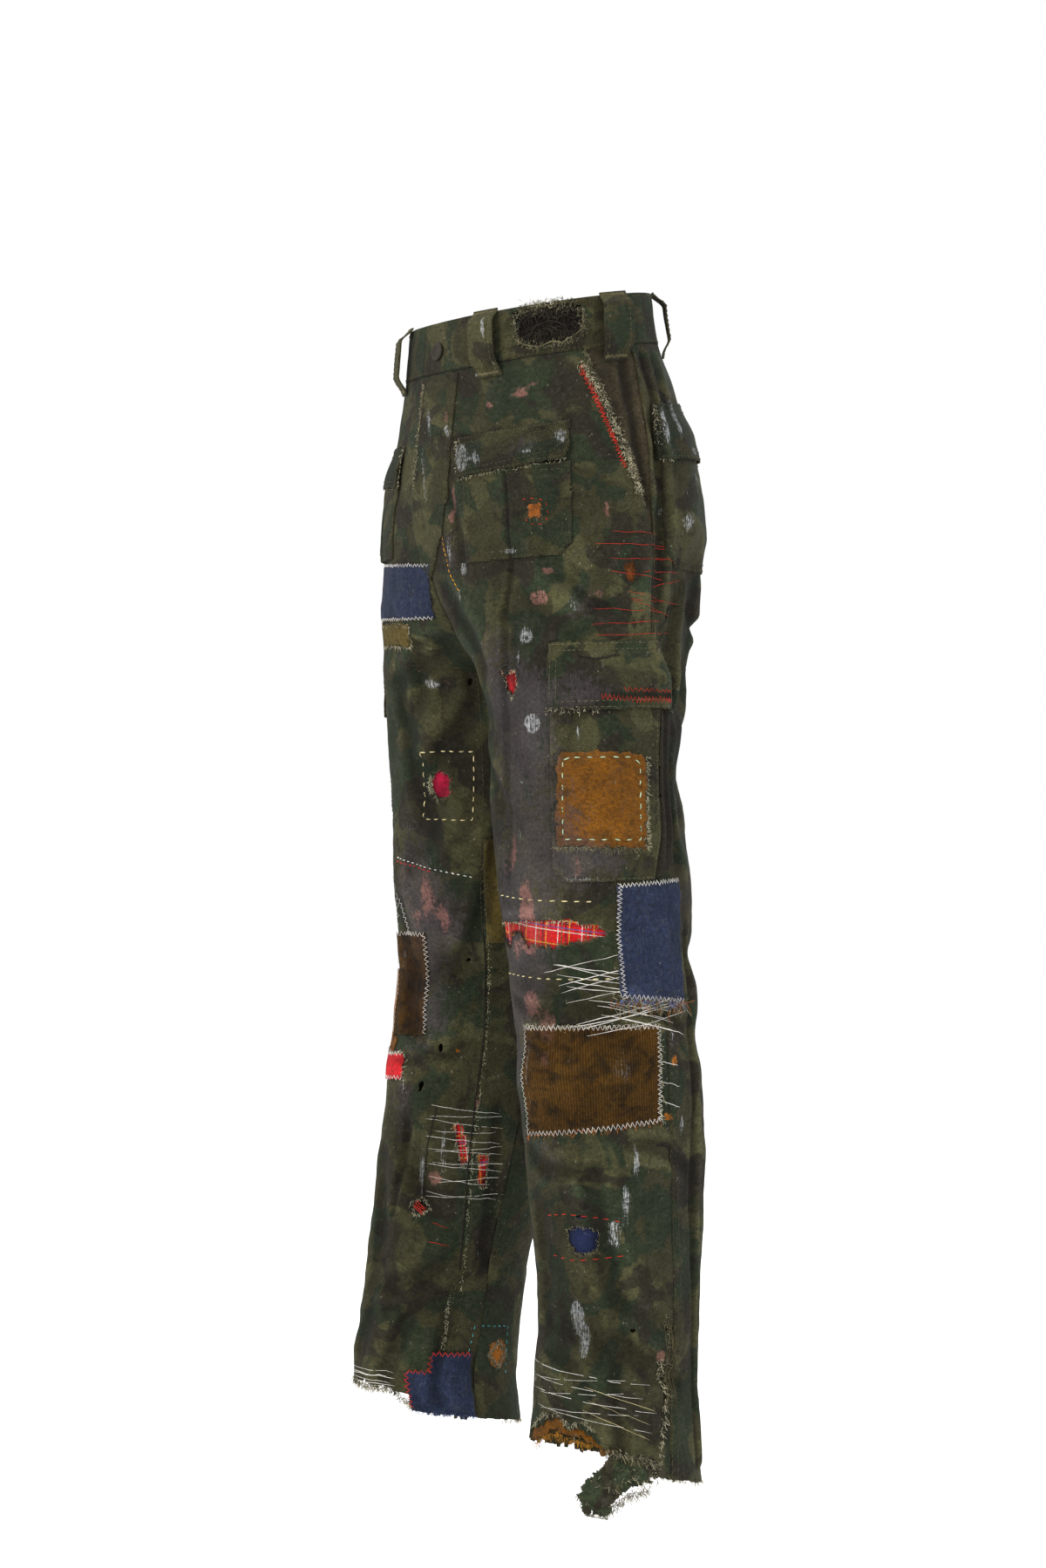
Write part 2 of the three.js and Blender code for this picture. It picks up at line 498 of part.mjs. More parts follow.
  // Torn rag that hangs from the left hem.
  const rag = [[-68, -1002.5], [-4, -1002.5], [-10, -1024], [-30, -1032], [-44, -1046], [-60, -1038]];
  add("hem_rag_left", wall(1, latticeLines(1, -80, 8, -1000), [-974, -986, HEM_LEVEL, -1026, -1046],
    () => UNDER, () => UNDER + PATCH_WALL).intersect(cutter(1, rag)), 0x5a5546);

  // Waist button on the lapped end of the band.
  const buttonAt = cloth(1, -reach(1, -1, 20, SEAM / 2) + 6, 20, BAND_WALL / 2 + LAY + 0.8);
  add("waist_button", Manifold.cylinder(3, BUTTON_R, BUTTON_R - 1.5, 24, false)
    .rotate([90, 0, 0]).translate(buttonAt), 0x2a2620, 0.6);

  return group;
}

export default await build();
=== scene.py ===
import math
import bpy
import numpy as np
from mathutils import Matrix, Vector


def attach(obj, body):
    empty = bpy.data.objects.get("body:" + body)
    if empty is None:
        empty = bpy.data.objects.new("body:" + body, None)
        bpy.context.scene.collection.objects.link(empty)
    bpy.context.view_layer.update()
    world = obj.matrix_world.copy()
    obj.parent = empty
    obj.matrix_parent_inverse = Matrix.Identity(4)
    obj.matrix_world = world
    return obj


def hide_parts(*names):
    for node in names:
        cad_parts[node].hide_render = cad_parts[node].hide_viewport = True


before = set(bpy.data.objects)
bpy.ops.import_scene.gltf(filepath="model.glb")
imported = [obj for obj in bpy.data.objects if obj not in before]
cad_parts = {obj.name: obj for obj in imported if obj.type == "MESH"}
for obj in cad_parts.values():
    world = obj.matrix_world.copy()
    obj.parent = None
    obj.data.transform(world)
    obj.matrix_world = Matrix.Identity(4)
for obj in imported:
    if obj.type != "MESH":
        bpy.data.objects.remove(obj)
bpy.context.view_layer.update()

bl_info = {
    "name": "Patched Cargo Pants",
    "version": (1, 0, 0),
    "blender": (4, 5, 0),
    "location": "3D View > Sidebar > Cargo Pants",
    "description": "Makes worn, patched cargo pants on the packed frame, with a stage and a camera",
    "category": "Object",
}

MM = 0.001


def linear(code):
    """sRGB hex to linear RGB."""
    code = code.lstrip("#")
    parts = [int(code[i:i + 2], 16) / 255 for i in (0, 2, 4)]
    return [c / 12.92 if c <= 0.04045 else ((c + 0.055) / 1.055) ** 2.4 for c in parts]


def colour(label, code):
    return bpy.props.FloatVectorProperty(
        name=label, description=f"{label} colour of the cloth or thread", subtype="COLOR",
        size=3, min=0, max=1, default=linear(code))


def size_mm(label, text, default, low=0.05, high=200.0):
    return bpy.props.FloatProperty(name=label, description=text, default=default, min=low, max=high)


class CargoPantsSizes(bpy.types.PropertyGroup):
    grid: size_mm("Cloth grid", "Spacing of the fine cloth mesh in millimetres", 3.7)
    stitch: size_mm("Topstitch length", "Length of one topstitch in millimetres", 3.4)
    thread: size_mm("Thread radius", "Radius of the topstitching thread in millimetres", 0.34)
    strand: size_mm("Fray radius", "Radius of a frayed yarn in millimetres", 0.24)
    wrinkle: size_mm("Wrinkle depth", "Depth of the small wrinkles in millimetres", 1.2, 0.0)


class CargoPantsColours(bpy.types.PropertyGroup):
    ground: colour("Olive brown", "#35331f")
    green: colour("Dark green", "#1f2b1c")
    earth: colour("Dark earth", "#252119")
    khaki: colour("Light olive", "#45442b")
    wash: colour("Mauve grey grime", "#463f42")
    pink: colour("Pink paint", "#8a5f57")
    paint: colour("White paint", "#a9acae")
    denim: colour("Denim", "#1d263c")
    mustard: colour("Mustard", "#70450a")
    corduroy: colour("Brown corduroy", "#48300b")
    tartan: colour("Check red", "#c61a1c")
    crimson: colour("Crimson", "#a31436")


def sizes():
    """The sizes in the sidebar."""
    return bpy.context.scene.cargo_pants_sizes


def tints():
    """The colours in the sidebar."""
    return bpy.context.scene.cargo_pants_colours


# ------------------------------------------------------------------ form of the cloth
# Body sections: level, outer and inner half-width, centre, front and back depth, tilt, and the
# right leg's step back and extra front depth. Millimetres, as in the CAD.
SECTIONS = np.array([
    # level outer inner centre front back tilt shift front2
    (70, 141, -141, 2, 98, 91, .16, 0, 0),
    (4, 148, -148, 2, 103, 101, .16, 0, 0),
    (-40, 158, -156, 4, 109, 117, .13, 0, 0),
    (-100, 170, -154, 5, 115, 131, .07, 0, 0),
    (-150, 176, -131, 5, 116, 136, .02, 0, 0),
    (-205, 178, -98, 5, 114, 131, 0, 0, 0),
    (-240, 178, -54, 4, 108, 118, 0, 0, 0),
    (-265, 178, -28, 3, 102, 108, 0, 1, 0),
    (-290, 178, 1.2, 2, 97, 102, 0, 2, 0),
    (-325, 179, 7, 2, 94, 96, 0, 4, 0),
    (-385, 182, 16, 1, 92, 86, 0, 10, 0),
    (-475, 187, 29, 3, 91, 88, 0, 18, 3),
    (-560, 189, 39, 8, 88, 87, 0, 24, 8),
    (-635, 192, 48, 11, 87, 88, 0, 22, 13),
    (-715, 196, 56, 12, 84, 86, 0, 12, 17),
    (-790, 200, 64, 11, 79, 81, 0, -1, 15),
    (-870, 204, 72, 10, 74, 75, -.03, -12, 14),
    (-950, 210, 78, 2, 77, 77, -.12, -14, 11),
    (-1012, 216, 82, -2, 82, 82, -.2, -7, 4),
    (-1050, 218, 84, -4, 83, 83, -.22, -5, 3),
], float)

# Largest folds, shared with the CAD. s runs round from the widest line, - to the front.
FOLDS = [
    # side s0 v0 s1 v1 half_width depth
    (1, -122, -190, -134, -500, 16, -3.5), (1, 48, -205, 40, -470, 15, -7),
    (1, 82, -190, 70, -440, 15, -7), (1, -238, -282, -150, -350, 17, -5),
    (1, -236, -330, -120, -440, 18, -4), (1, 150, -262, 60, -330, 18, -5),
    (1, 200, -285, 90, -390, 18, -5), (1, -160, -560, -40, -600, 17, -4),
    (1, -150, -660, -20, -640, 18, 4), (1, 60, -540, 180, -590, 17, -6),
    (1, 55, -620, 190, -640, 18, -5), (1, -110, -740, -96, -900, 16, -4),
    (1, 40, -720, 60, -930, 17, -4), (1, -90, -880, 40, -930, 17, -4),
    (-1, -235, -285, -130, -350, 17, -5), (-1, -232, -330, -150, -470, 18, -5),
    (-1, 55, -205, 46, -470, 15, -6), (-1, 150, -262, 60, -330, 18, -5),
    (-1, 200, -285, 90, -390, 18, -5), (-1, -225, -560, -120, -590, 17, -5),
    (-1, -215, -640, -110, -668, 17, 4), (-1, 60, -540, 180, -590, 17, -6),
    (-1, -150, -715, -182, -800, 15, -6), (-1, -120, -760, -150, -900, 16, -4),
    (-1, -200, -880, -90, -930, 17, -4), (-1, 60, -700, 90, -930, 17, -4),
]

# Finer creases, each bowed sideways at its middle.
CREASES = [
    # side s0 v0 s1 v1 bow half_width depth
    (1, -120, -192, -130, -300, 2, 3.0, -2.6), (1, -130, -300, -138, -480, -3, 4.0, -1.6),
    (1, 24, -2, 34, -62, 2, 6, -3), (1, 2, -10, 13, -150, 3, 5, -3),
    (1, 42, -6, 52, -60, -2, 7, -2.5), (1, 24, -60, 20, -240, -5, 7, -5),
    (1, 60, -215, 52, -330, 6, 8, -4), (1, 96, -205, 80, -340, -6, 10, -4),
    (1, 30, -250, 62, -330, 5, 8, -4), (1, 64, -330, 50, -470, 6, 7, -4),
    (1, 96, -300, 84, -430, -8, 9, -4), (1, -215, -215, -160, -300, -8, 9, -4),
    (1, -225, -250, -140, -420, 10, 9, -3), (1, -244, -300, -190, -420, 0, 8, -3),
    (1, -100, -205, -50, -250, 5, 9, 2), (1, -60, -222, -20, -236, 4, 5, -1.6),
    (1, -206, -60, -150, -72, 4, 6, -1.6), (1, -195, -120, -176, -200, -5, 6, -1.8),
    (1, -150, -585, -90, -600, 6, 6, -2.5), (1, -60, -592, 30, -606, -4, 6, -3),
    (1, -140, -716, -60, -738, 8, 8, -3), (1, -30, -712, 40, -738, -6, 7, -3),
    (1, -60, -730, -34, -860, 8, 9, -3), (1, -126, -760, -116, -880, -5, 8, -2.5),
    (1, 54, -520, 58, -1000, 6, 4, -2.4), (1, 62, -560, 64, -1000, 3, 5, 2.0),
    (1, -40, -884, 26, -922, 8, 8, -3), (1, -112, -902, -60, -938, -6, 7, -2.5),
    (1, -150, -510, -100, -504, 3, 5, 1.6), (1, -40, -900, -30, -1000, 4, 6, -2),
    (1, 100, -470, 150, -560, 10, 9, -4), (1, 120, -640, 200, -700, -8, 9, -4),
    (1, 100, -720, 130, -960, 8, 10, -4), (1, 170, -740, 190, -960, -6, 10, -4),
    (1, 190, -300, 130, -370, 6, 8, -4), (1, 210, -320, 150, -470, -8, 9, -4),
    (1, 90, -236, 200, -262, 10, 8, -3.5), (1, 110, -250, 210, -290, -8, 7, -3),
    (-1, -228, -262, -140, -300, 6, 8, -3), (-1, -236, -300, -170, -380, 8, 9, -4),
    (-1, -150, -300, -175, -420, -6, 10, -3), (-1, -240, -430, -200, -560, 6, 8, -3),
    (-1, -214, -256, -190, -262, 2, 4, -3), (-1, -190, -262, -166, -330, 5, 7, -3),
    (-1, -160, -716, -145, -806, 2, 3.2, -4), (-1, -120, -500, -150, -640, 5, 9, -2.5),
    (-1, -210, -640, -140, -660, 6, 7, -3), (-1, -200, -850, -110, -880, 8, 9, -3),
    (-1, -170, -900, -150, -980, 4, 8, -3), (-1, -120, -740, -118, -960, 6, 9, -3),
    (-1, -212, -900, -204, -1000, -4, 7, -2.5), (-1, -245, -700, -236, -860, 5, 7, -2.5),
    (-1, 60, -215, 52, -330, 6, 8, -4), (-1, 96, -205, 80, -340, -6, 10, -4),
    (-1, 24, -60, 20, -240, -5, 7, -5), (-1, 64, -330, 50, -470, 6, 7, -4),
    (-1, 96, -480, 150, -560, 10, 9, -4), (-1, 110, -640, 190, -700, -8, 9, -4),
    (-1, 90, -720, 120, -960, 8, 10, -4), (-1, 90, -236, 200, -262, 10, 8, -3.5),
    (-1, 190, -300, 130, -370, 6, 8, -4), (-1, -60, -592, 30, -606, -4, 6, -3),
    (-1, -60, -730, -34, -860, 8, 9, -3), (-1, 54, -520, 58, -1000, 6, 4, -2.4),
]

# Raised felled seams that run down the cloth: side, s as a table down the level, width.
FELLS = [
    (1, [(0, 18), (-500, 19), (-1010, 19)], 9), (-1, [(0, 18), (-1010, 19)], 9),
    (-1, [(-290, -240), (-530, -221), (-710, -227), (-888, -214), (-1010, -205)], 10),
    (1, [(-290, -250), (-530, -226), (-710, -206), (-888, -192), (-1010, -196)], 10),
]

OUTSEAM = 14.0
HALF_GAP = 0.15
# Cloth thicknesses, the gap between two layers, and the layers' heights from the panels' middle.
WALL = 1.6
PATCH_WALL = 1.2
LAY = 0.5
ON = WALL / 2 + LAY
UNDER = -(WALL / 2 + LAY + PATCH_WALL)
OVER = ON + PATCH_WALL + LAY
# The even net of the body: step down in millimetres, and shares of each half round.
STEP = 2.0
SHARES = 130
# A thread's end radius as a share of its middle, and the points along a frayed yarn.
THREAD_END = 0.45
FRAY_STEPS = 5


def smooth(t):
    """A soft step from 0 to 1."""
    t = np.clip(t, 0, 1)
    return t * t * (3 - 2 * t)


def column(k, level):
    """Smooth curve through a column of SECTIONS, without overshoot."""
    xs, ys = SECTIONS[::-1, 0], SECTIONS[::-1, k]
    d = np.diff(ys) / np.diff(xs)
    m = np.concatenate([[d[0]], np.zeros(len(d) - 1), [d[-1]]])
    for i in range(1, len(xs) - 1):
        if d[i - 1] * d[i] > 0:
            m[i] = 2 * d[i - 1] * d[i] / (d[i - 1] + d[i])
    i = np.clip(np.searchsorted(xs, level) - 1, 0, len(xs) - 2)
    h = xs[i + 1] - xs[i]
    t = (level - xs[i]) / h
    return (ys[i] * (1 + 2 * t) * (1 - t) ** 2 + m[i] * h * t * (1 - t) ** 2
            + ys[i + 1] * t * t * (3 - 2 * t) - m[i + 1] * h * t * t * (1 - t))


LEVELS = np.arange(66.0, -1046.1, -STEP)


def body_table(side):
    """Points, normals and arc lengths of one side, on an even net of levels and shares."""
    cols = [column(k, LEVELS) for k in range(1, 9)]
    points, lengths = [], []
    for outer, inner, cy, front, back, tilt, shift, front2, level in zip(*cols, LEVELS):
        if side < 0:
            cy, front = cy + shift, front + front2
        a, cx = (outer - inner) / 2, (outer + inner) / 2
        row, reach = [], []
        for depth, sign in ((front, -1), (back, 1)):
            edge = math.acos(max(-1, min(1, (HALF_GAP - cx) / a)))
            nx = abs(math.cos(edge) * depth) / math.hypot(math.cos(edge) * depth, math.sin(edge) * a)
            edge = math.acos(max(-1, min(1, (HALF_GAP + WALL / 2 * nx - cx) / a)))
            edge = min(edge, math.pi - HALF_GAP / depth)
            th = np.linspace(0, edge, 300)
            x, y = cx + a * np.cos(th), cy + sign * depth * np.sin(th)
            run = np.r_[0, np.cumsum(np.hypot(np.diff(x), np.diff(y)))]
            even = np.linspace(0, run[-1], SHARES + 1)
            ey = np.interp(even, run, y)
            row.append(np.stack([side * np.interp(even, run, x), ey, level + tilt * (ey - cy)], -1))
            reach.append(run[-1])
        points.append(np.concatenate([row[0][::-1], row[1][1:]]))
        lengths.append(reach)
    points, lengths = np.array(points), np.array(lengths)
    normal = np.cross(np.gradient(points, axis=1), np.gradient(points, axis=0)) * -side
    normal /= np.linalg.norm(normal, axis=-1, keepdims=True)
    return points, normal, lengths


BODY = {side: body_table(side) for side in (1, -1)}


def reach(side, level):
    """Arc length from the widest line to the front and back edges."""
    lengths = BODY[side][2]
    k = (LEVELS[0] - np.asarray(level, float)) / STEP
    i = np.arange(len(LEVELS))
    return np.interp(k, i, lengths[:, 0]), np.interp(k, i, lengths[:, 1])


def value_noise(x, y, seed):
    """Smooth noise from -1 to 1."""
    xi, yi = np.floor(x).astype(int), np.floor(y).astype(int)
    fx, fy = smooth(x - xi), smooth(y - yi)

    def at(i, j):
        h = (i * 374761393 + j * 668265263 + seed * 974634777) & 0xFFFFFFFF
        h = ((h ^ (h >> 13)) * 1274126177) & 0xFFFFFFFF
        return ((h ^ (h >> 16)) & 0xFFFF) / 32767.5 - 1
    return ((at(xi, yi) * (1 - fx) + at(xi + 1, yi) * fx) * (1 - fy)
            + (at(xi, yi + 1) * (1 - fx) + at(xi + 1, yi + 1) * fx) * fy)


def relief(side, s, v, parts=False):
    """Folds, creases, felled seams and small wrinkles, as distance out of the smooth form."""
    total = np.zeros(np.broadcast(s, v).shape)
    sharp = np.zeros(total.shape)
    for f_side, s0, v0, s1, v1, width, depth in FOLDS:
        if f_side != side:
            continue
        ds, dv = s1 - s0, v1 - v0
        length = math.hypot(ds, dv)
        t = ((s - s0) * ds + (v - v0) * dv) / length
        w = ((s - s0) * dv - (v - v0) * ds) / length
        ends = smooth((t + 30) / 60) * smooth((length + 30 - t) / 60)
        total += depth * ends * np.exp(-(w / width) ** 2)
    wobble = value_noise(s / 22, v / 22, 5)
    for c_side, s0, v0, s1, v1, bow, width, depth in CREASES:
        if c_side != side:
            continue
        ds, dv = s1 - s0, v1 - v0
        length = math.hypot(ds, dv)
        t = ((s - s0) * ds + (v - v0) * dv) / length
        w = ((s - s0) * dv - (v - v0) * ds) / length - bow * 4 * (t / length) * (1 - t / length)
        w = w + wobble * min(3.0, width * 0.45)
        soft = min(22.0, length * 0.4)
        ends = smooth((t + soft * .5) / soft) * smooth((length + soft * .5 - t) / soft)
        lip = 0.45 * np.exp(-((np.abs(w) - 1.8 * width) / (0.9 * width)) ** 2)
        sharp += depth * ends * (np.exp(-(w / width) ** 2) - lip)
    top, foot = smooth((-v - 40) / 60), smooth((v + 1000) / 40)
    total = total * top * foot
    sharp = sharp * smooth((-v - 2) / 12) * smooth((v + 1002) / 12)
    total = total + sharp
    for f_side, path, width in FELLS:
        if f_side == side:
            levels, places = zip(*sorted(path))
            d = np.abs(s - np.interp(v, levels, places))
            below = v < min(path[0][0], -2)
            total += 0.9 * smooth((width / 2 + 0.8 - d) / 1.6) * smooth((-v - 4) / 6) * below
    small = sizes().wrinkle
    loose = np.maximum(top, 0.45)
    total += small * (0.9 * value_noise(s / 34 + 3, v / 48, 11) + 0.55 * value_noise(s / 15, v / 19, 12)
                      + 0.3 * value_noise(s / 7.5, v / 9, 13)) * loose
    return (total, sharp) if parts else total


def cloth(side, s, v, out=0.0, flat=False):
    """Points on the cloth in metres. Past the middle above the crotch, s runs on to the other side."""
    s, v = np.broadcast_arrays(np.asarray(s, float), np.asarray(v, float))
    front, back = reach(side, v)
    over = np.where(s < 0, -s - front, s - back)
    cross = (over > 0) & (v > -250)
    result = np.zeros(s.shape + (3,))
    for which in (side, -side):
        mask = ~cross if which == side else cross
        if not mask.any():
            continue
        points, normals, _ = BODY[which]
        ss, vv, ff, bb = s[mask], v[mask], front[mask], back[mask]
        if which != side:
            ss = np.where(ss < 0, -(2 * ff + ss), 2 * bb - ss)
        k = np.clip((LEVELS[0] - vv) / STEP, 0, len(LEVELS) - 1.001)
        f = np.clip(np.where(ss < 0, ss / ff, ss / bb) * SHARES + SHARES, 0, 2 * SHARES - .001)
        i, j = k.astype(int), f.astype(int)
        a, b = (k - i)[:, None], (f - j)[:, None]

        def mix(table):
            return (table[i, j] * (1 - a) * (1 - b) + table[i + 1, j] * a * (1 - b)
                    + table[i, j + 1] * (1 - a) * b + table[i + 1, j + 1] * a * b)
        offset = np.broadcast_to(np.asarray(out, float), s.shape)[mask]
        if not flat:
            offset = offset + relief(which, ss, vv)
        normal = mix(normals)
        normal /= np.linalg.norm(normal, axis=-1, keepdims=True)
        result[mask] = mix(points) + normal * offset[:, None]
    return result * MM


# ------------------------------------------------------------------ outlines
def inside_of(outline, s, v):
    """Distance into a closed outline, positive inside."""
    pts = np.array(outline, float)
    best = np.full(np.broadcast(s, v).shape, 1e9)
    odd = np.zeros(best.shape, bool)
    for (x0, y0), (x1, y1) in zip(pts, np.roll(pts, -1, 0)):
        dx, dy = x1 - x0, y1 - y0
        t = np.clip(((s - x0) * dx + (v - y0) * dy) / max(dx * dx + dy * dy, 1e-9), 0, 1)
        best = np.minimum(best, np.hypot(s - x0 - t * dx, v - y0 - t * dy))
        rise = dy if dy != 0 else 1e-9
        crosses = ((y0 > v) != (y1 > v)) & (s < dx * (v - y0) / rise + x0)
        odd ^= crosses
    return np.where(odd, best, -best)


def ring(outline):
    """An outline with its first point again at its end."""
    return outline + outline[:1]


def ragged(outline, amount, seed):
    """Field of an outline with a torn edge."""
    def field(s, v):
        d = inside_of(outline, s, v)
        return d + amount * (value_noise(s / 5, v / 5, seed) + 0.6 * value_noise(s / 2.3, v / 2.3, seed + 1))
    return field


# Holes through the front panels, each an outline of s and level.
HOLES = {
    ("front", 1): [
        [(-134, -291), (-128, -296), (-116, -291), (-114, -306), (-121, -318), (-131, -306)],
        [(-166, -519), (-120, -516), (-70, -514), (-44, -520), (-36, -527), (-52, -532), (-90, -538),
         (-112, -539), (-122, -527), (-134, -527), (-142, -541), (-150, -541), (-158, -533), (-164, -539)],
        [(-86, -787), (-72, -783), (-56, -788), (-58, -806), (-74, -808), (-84, -801)],
        [(-16, -197), (-7, -194), (-3, -204), (-6, -214), (-14, -212)],
    ],
    ("front", -1): [
        [(-196, -386), (-186, -381), (-177, -389), (-176, -402), (-185, -410), (-195, -404)],
        [(-205, -718), (-211, -716), (-219, -735), (-221, -757), (-214, -758), (-209, -740)],
        [(-229, -748), (-240, -748), (-240, -780), (-230, -778)],
    ],
}
# Small worn holes: side, s, level, half-size round and down.
PINHOLES = [
    (-1, -202, -562, 4, 2), (-1, -184, -646, 2, 5), (-1, -170, -682, 3, 4), (1, -100, -620, 3, 2),
    (-1, -176, -798, 4, 5), (1, -72, -776, 5, 2), (-1, -228, -300, 2, 4), (1, -28, -876, 3, 2),
    (1, 40, -240, 3, 5), (-1, -120, -660, 3, 5), (1, 9, -930, 3, 16), (1, 8, -876, 6, 2),
    (1, 64, -930, 2, 8), (1, -192, -30, 4, 3),
]
MOUTH = [(-34, 1), (-22, -52), (-10, -100), (4, -142), (13, -174)]
HEMS = {
    1: [(-250, -1002), (-200, -998), (-160, -992), (-136, -985), (-128, -979), (-116, -974), (-100, -963),
        (-91, -960), (-84, -971), (-72, -964), (-62, -975), (-54, -984), (-46, -984), (-20, -986),
        (-5, -989), (3, -1000), (10, -1004), (60, -1007), (250, -1004)],
    -1: [(-280, -1004), (-180, -1003), (-176, -990), (-160, -984), (-130, -986), (-96, -982), (-60, -988),
         (-20, -998), (60, -1006), (250, -1003)],
}


def hem_field(side, s, v):
    """Height above the worn lower edge."""
    xs, ys = zip(*HEMS[side])
    torn = smooth((10 - s) / 20)
    rough = value_noise(s / 6, s * 0, 40 + side) * 2.5 + value_noise(s / 2.4, s * 0, 44 + side) * 1.4
    return v - np.interp(s, xs, ys) + rough * (0.3 + 0.7 * torn)


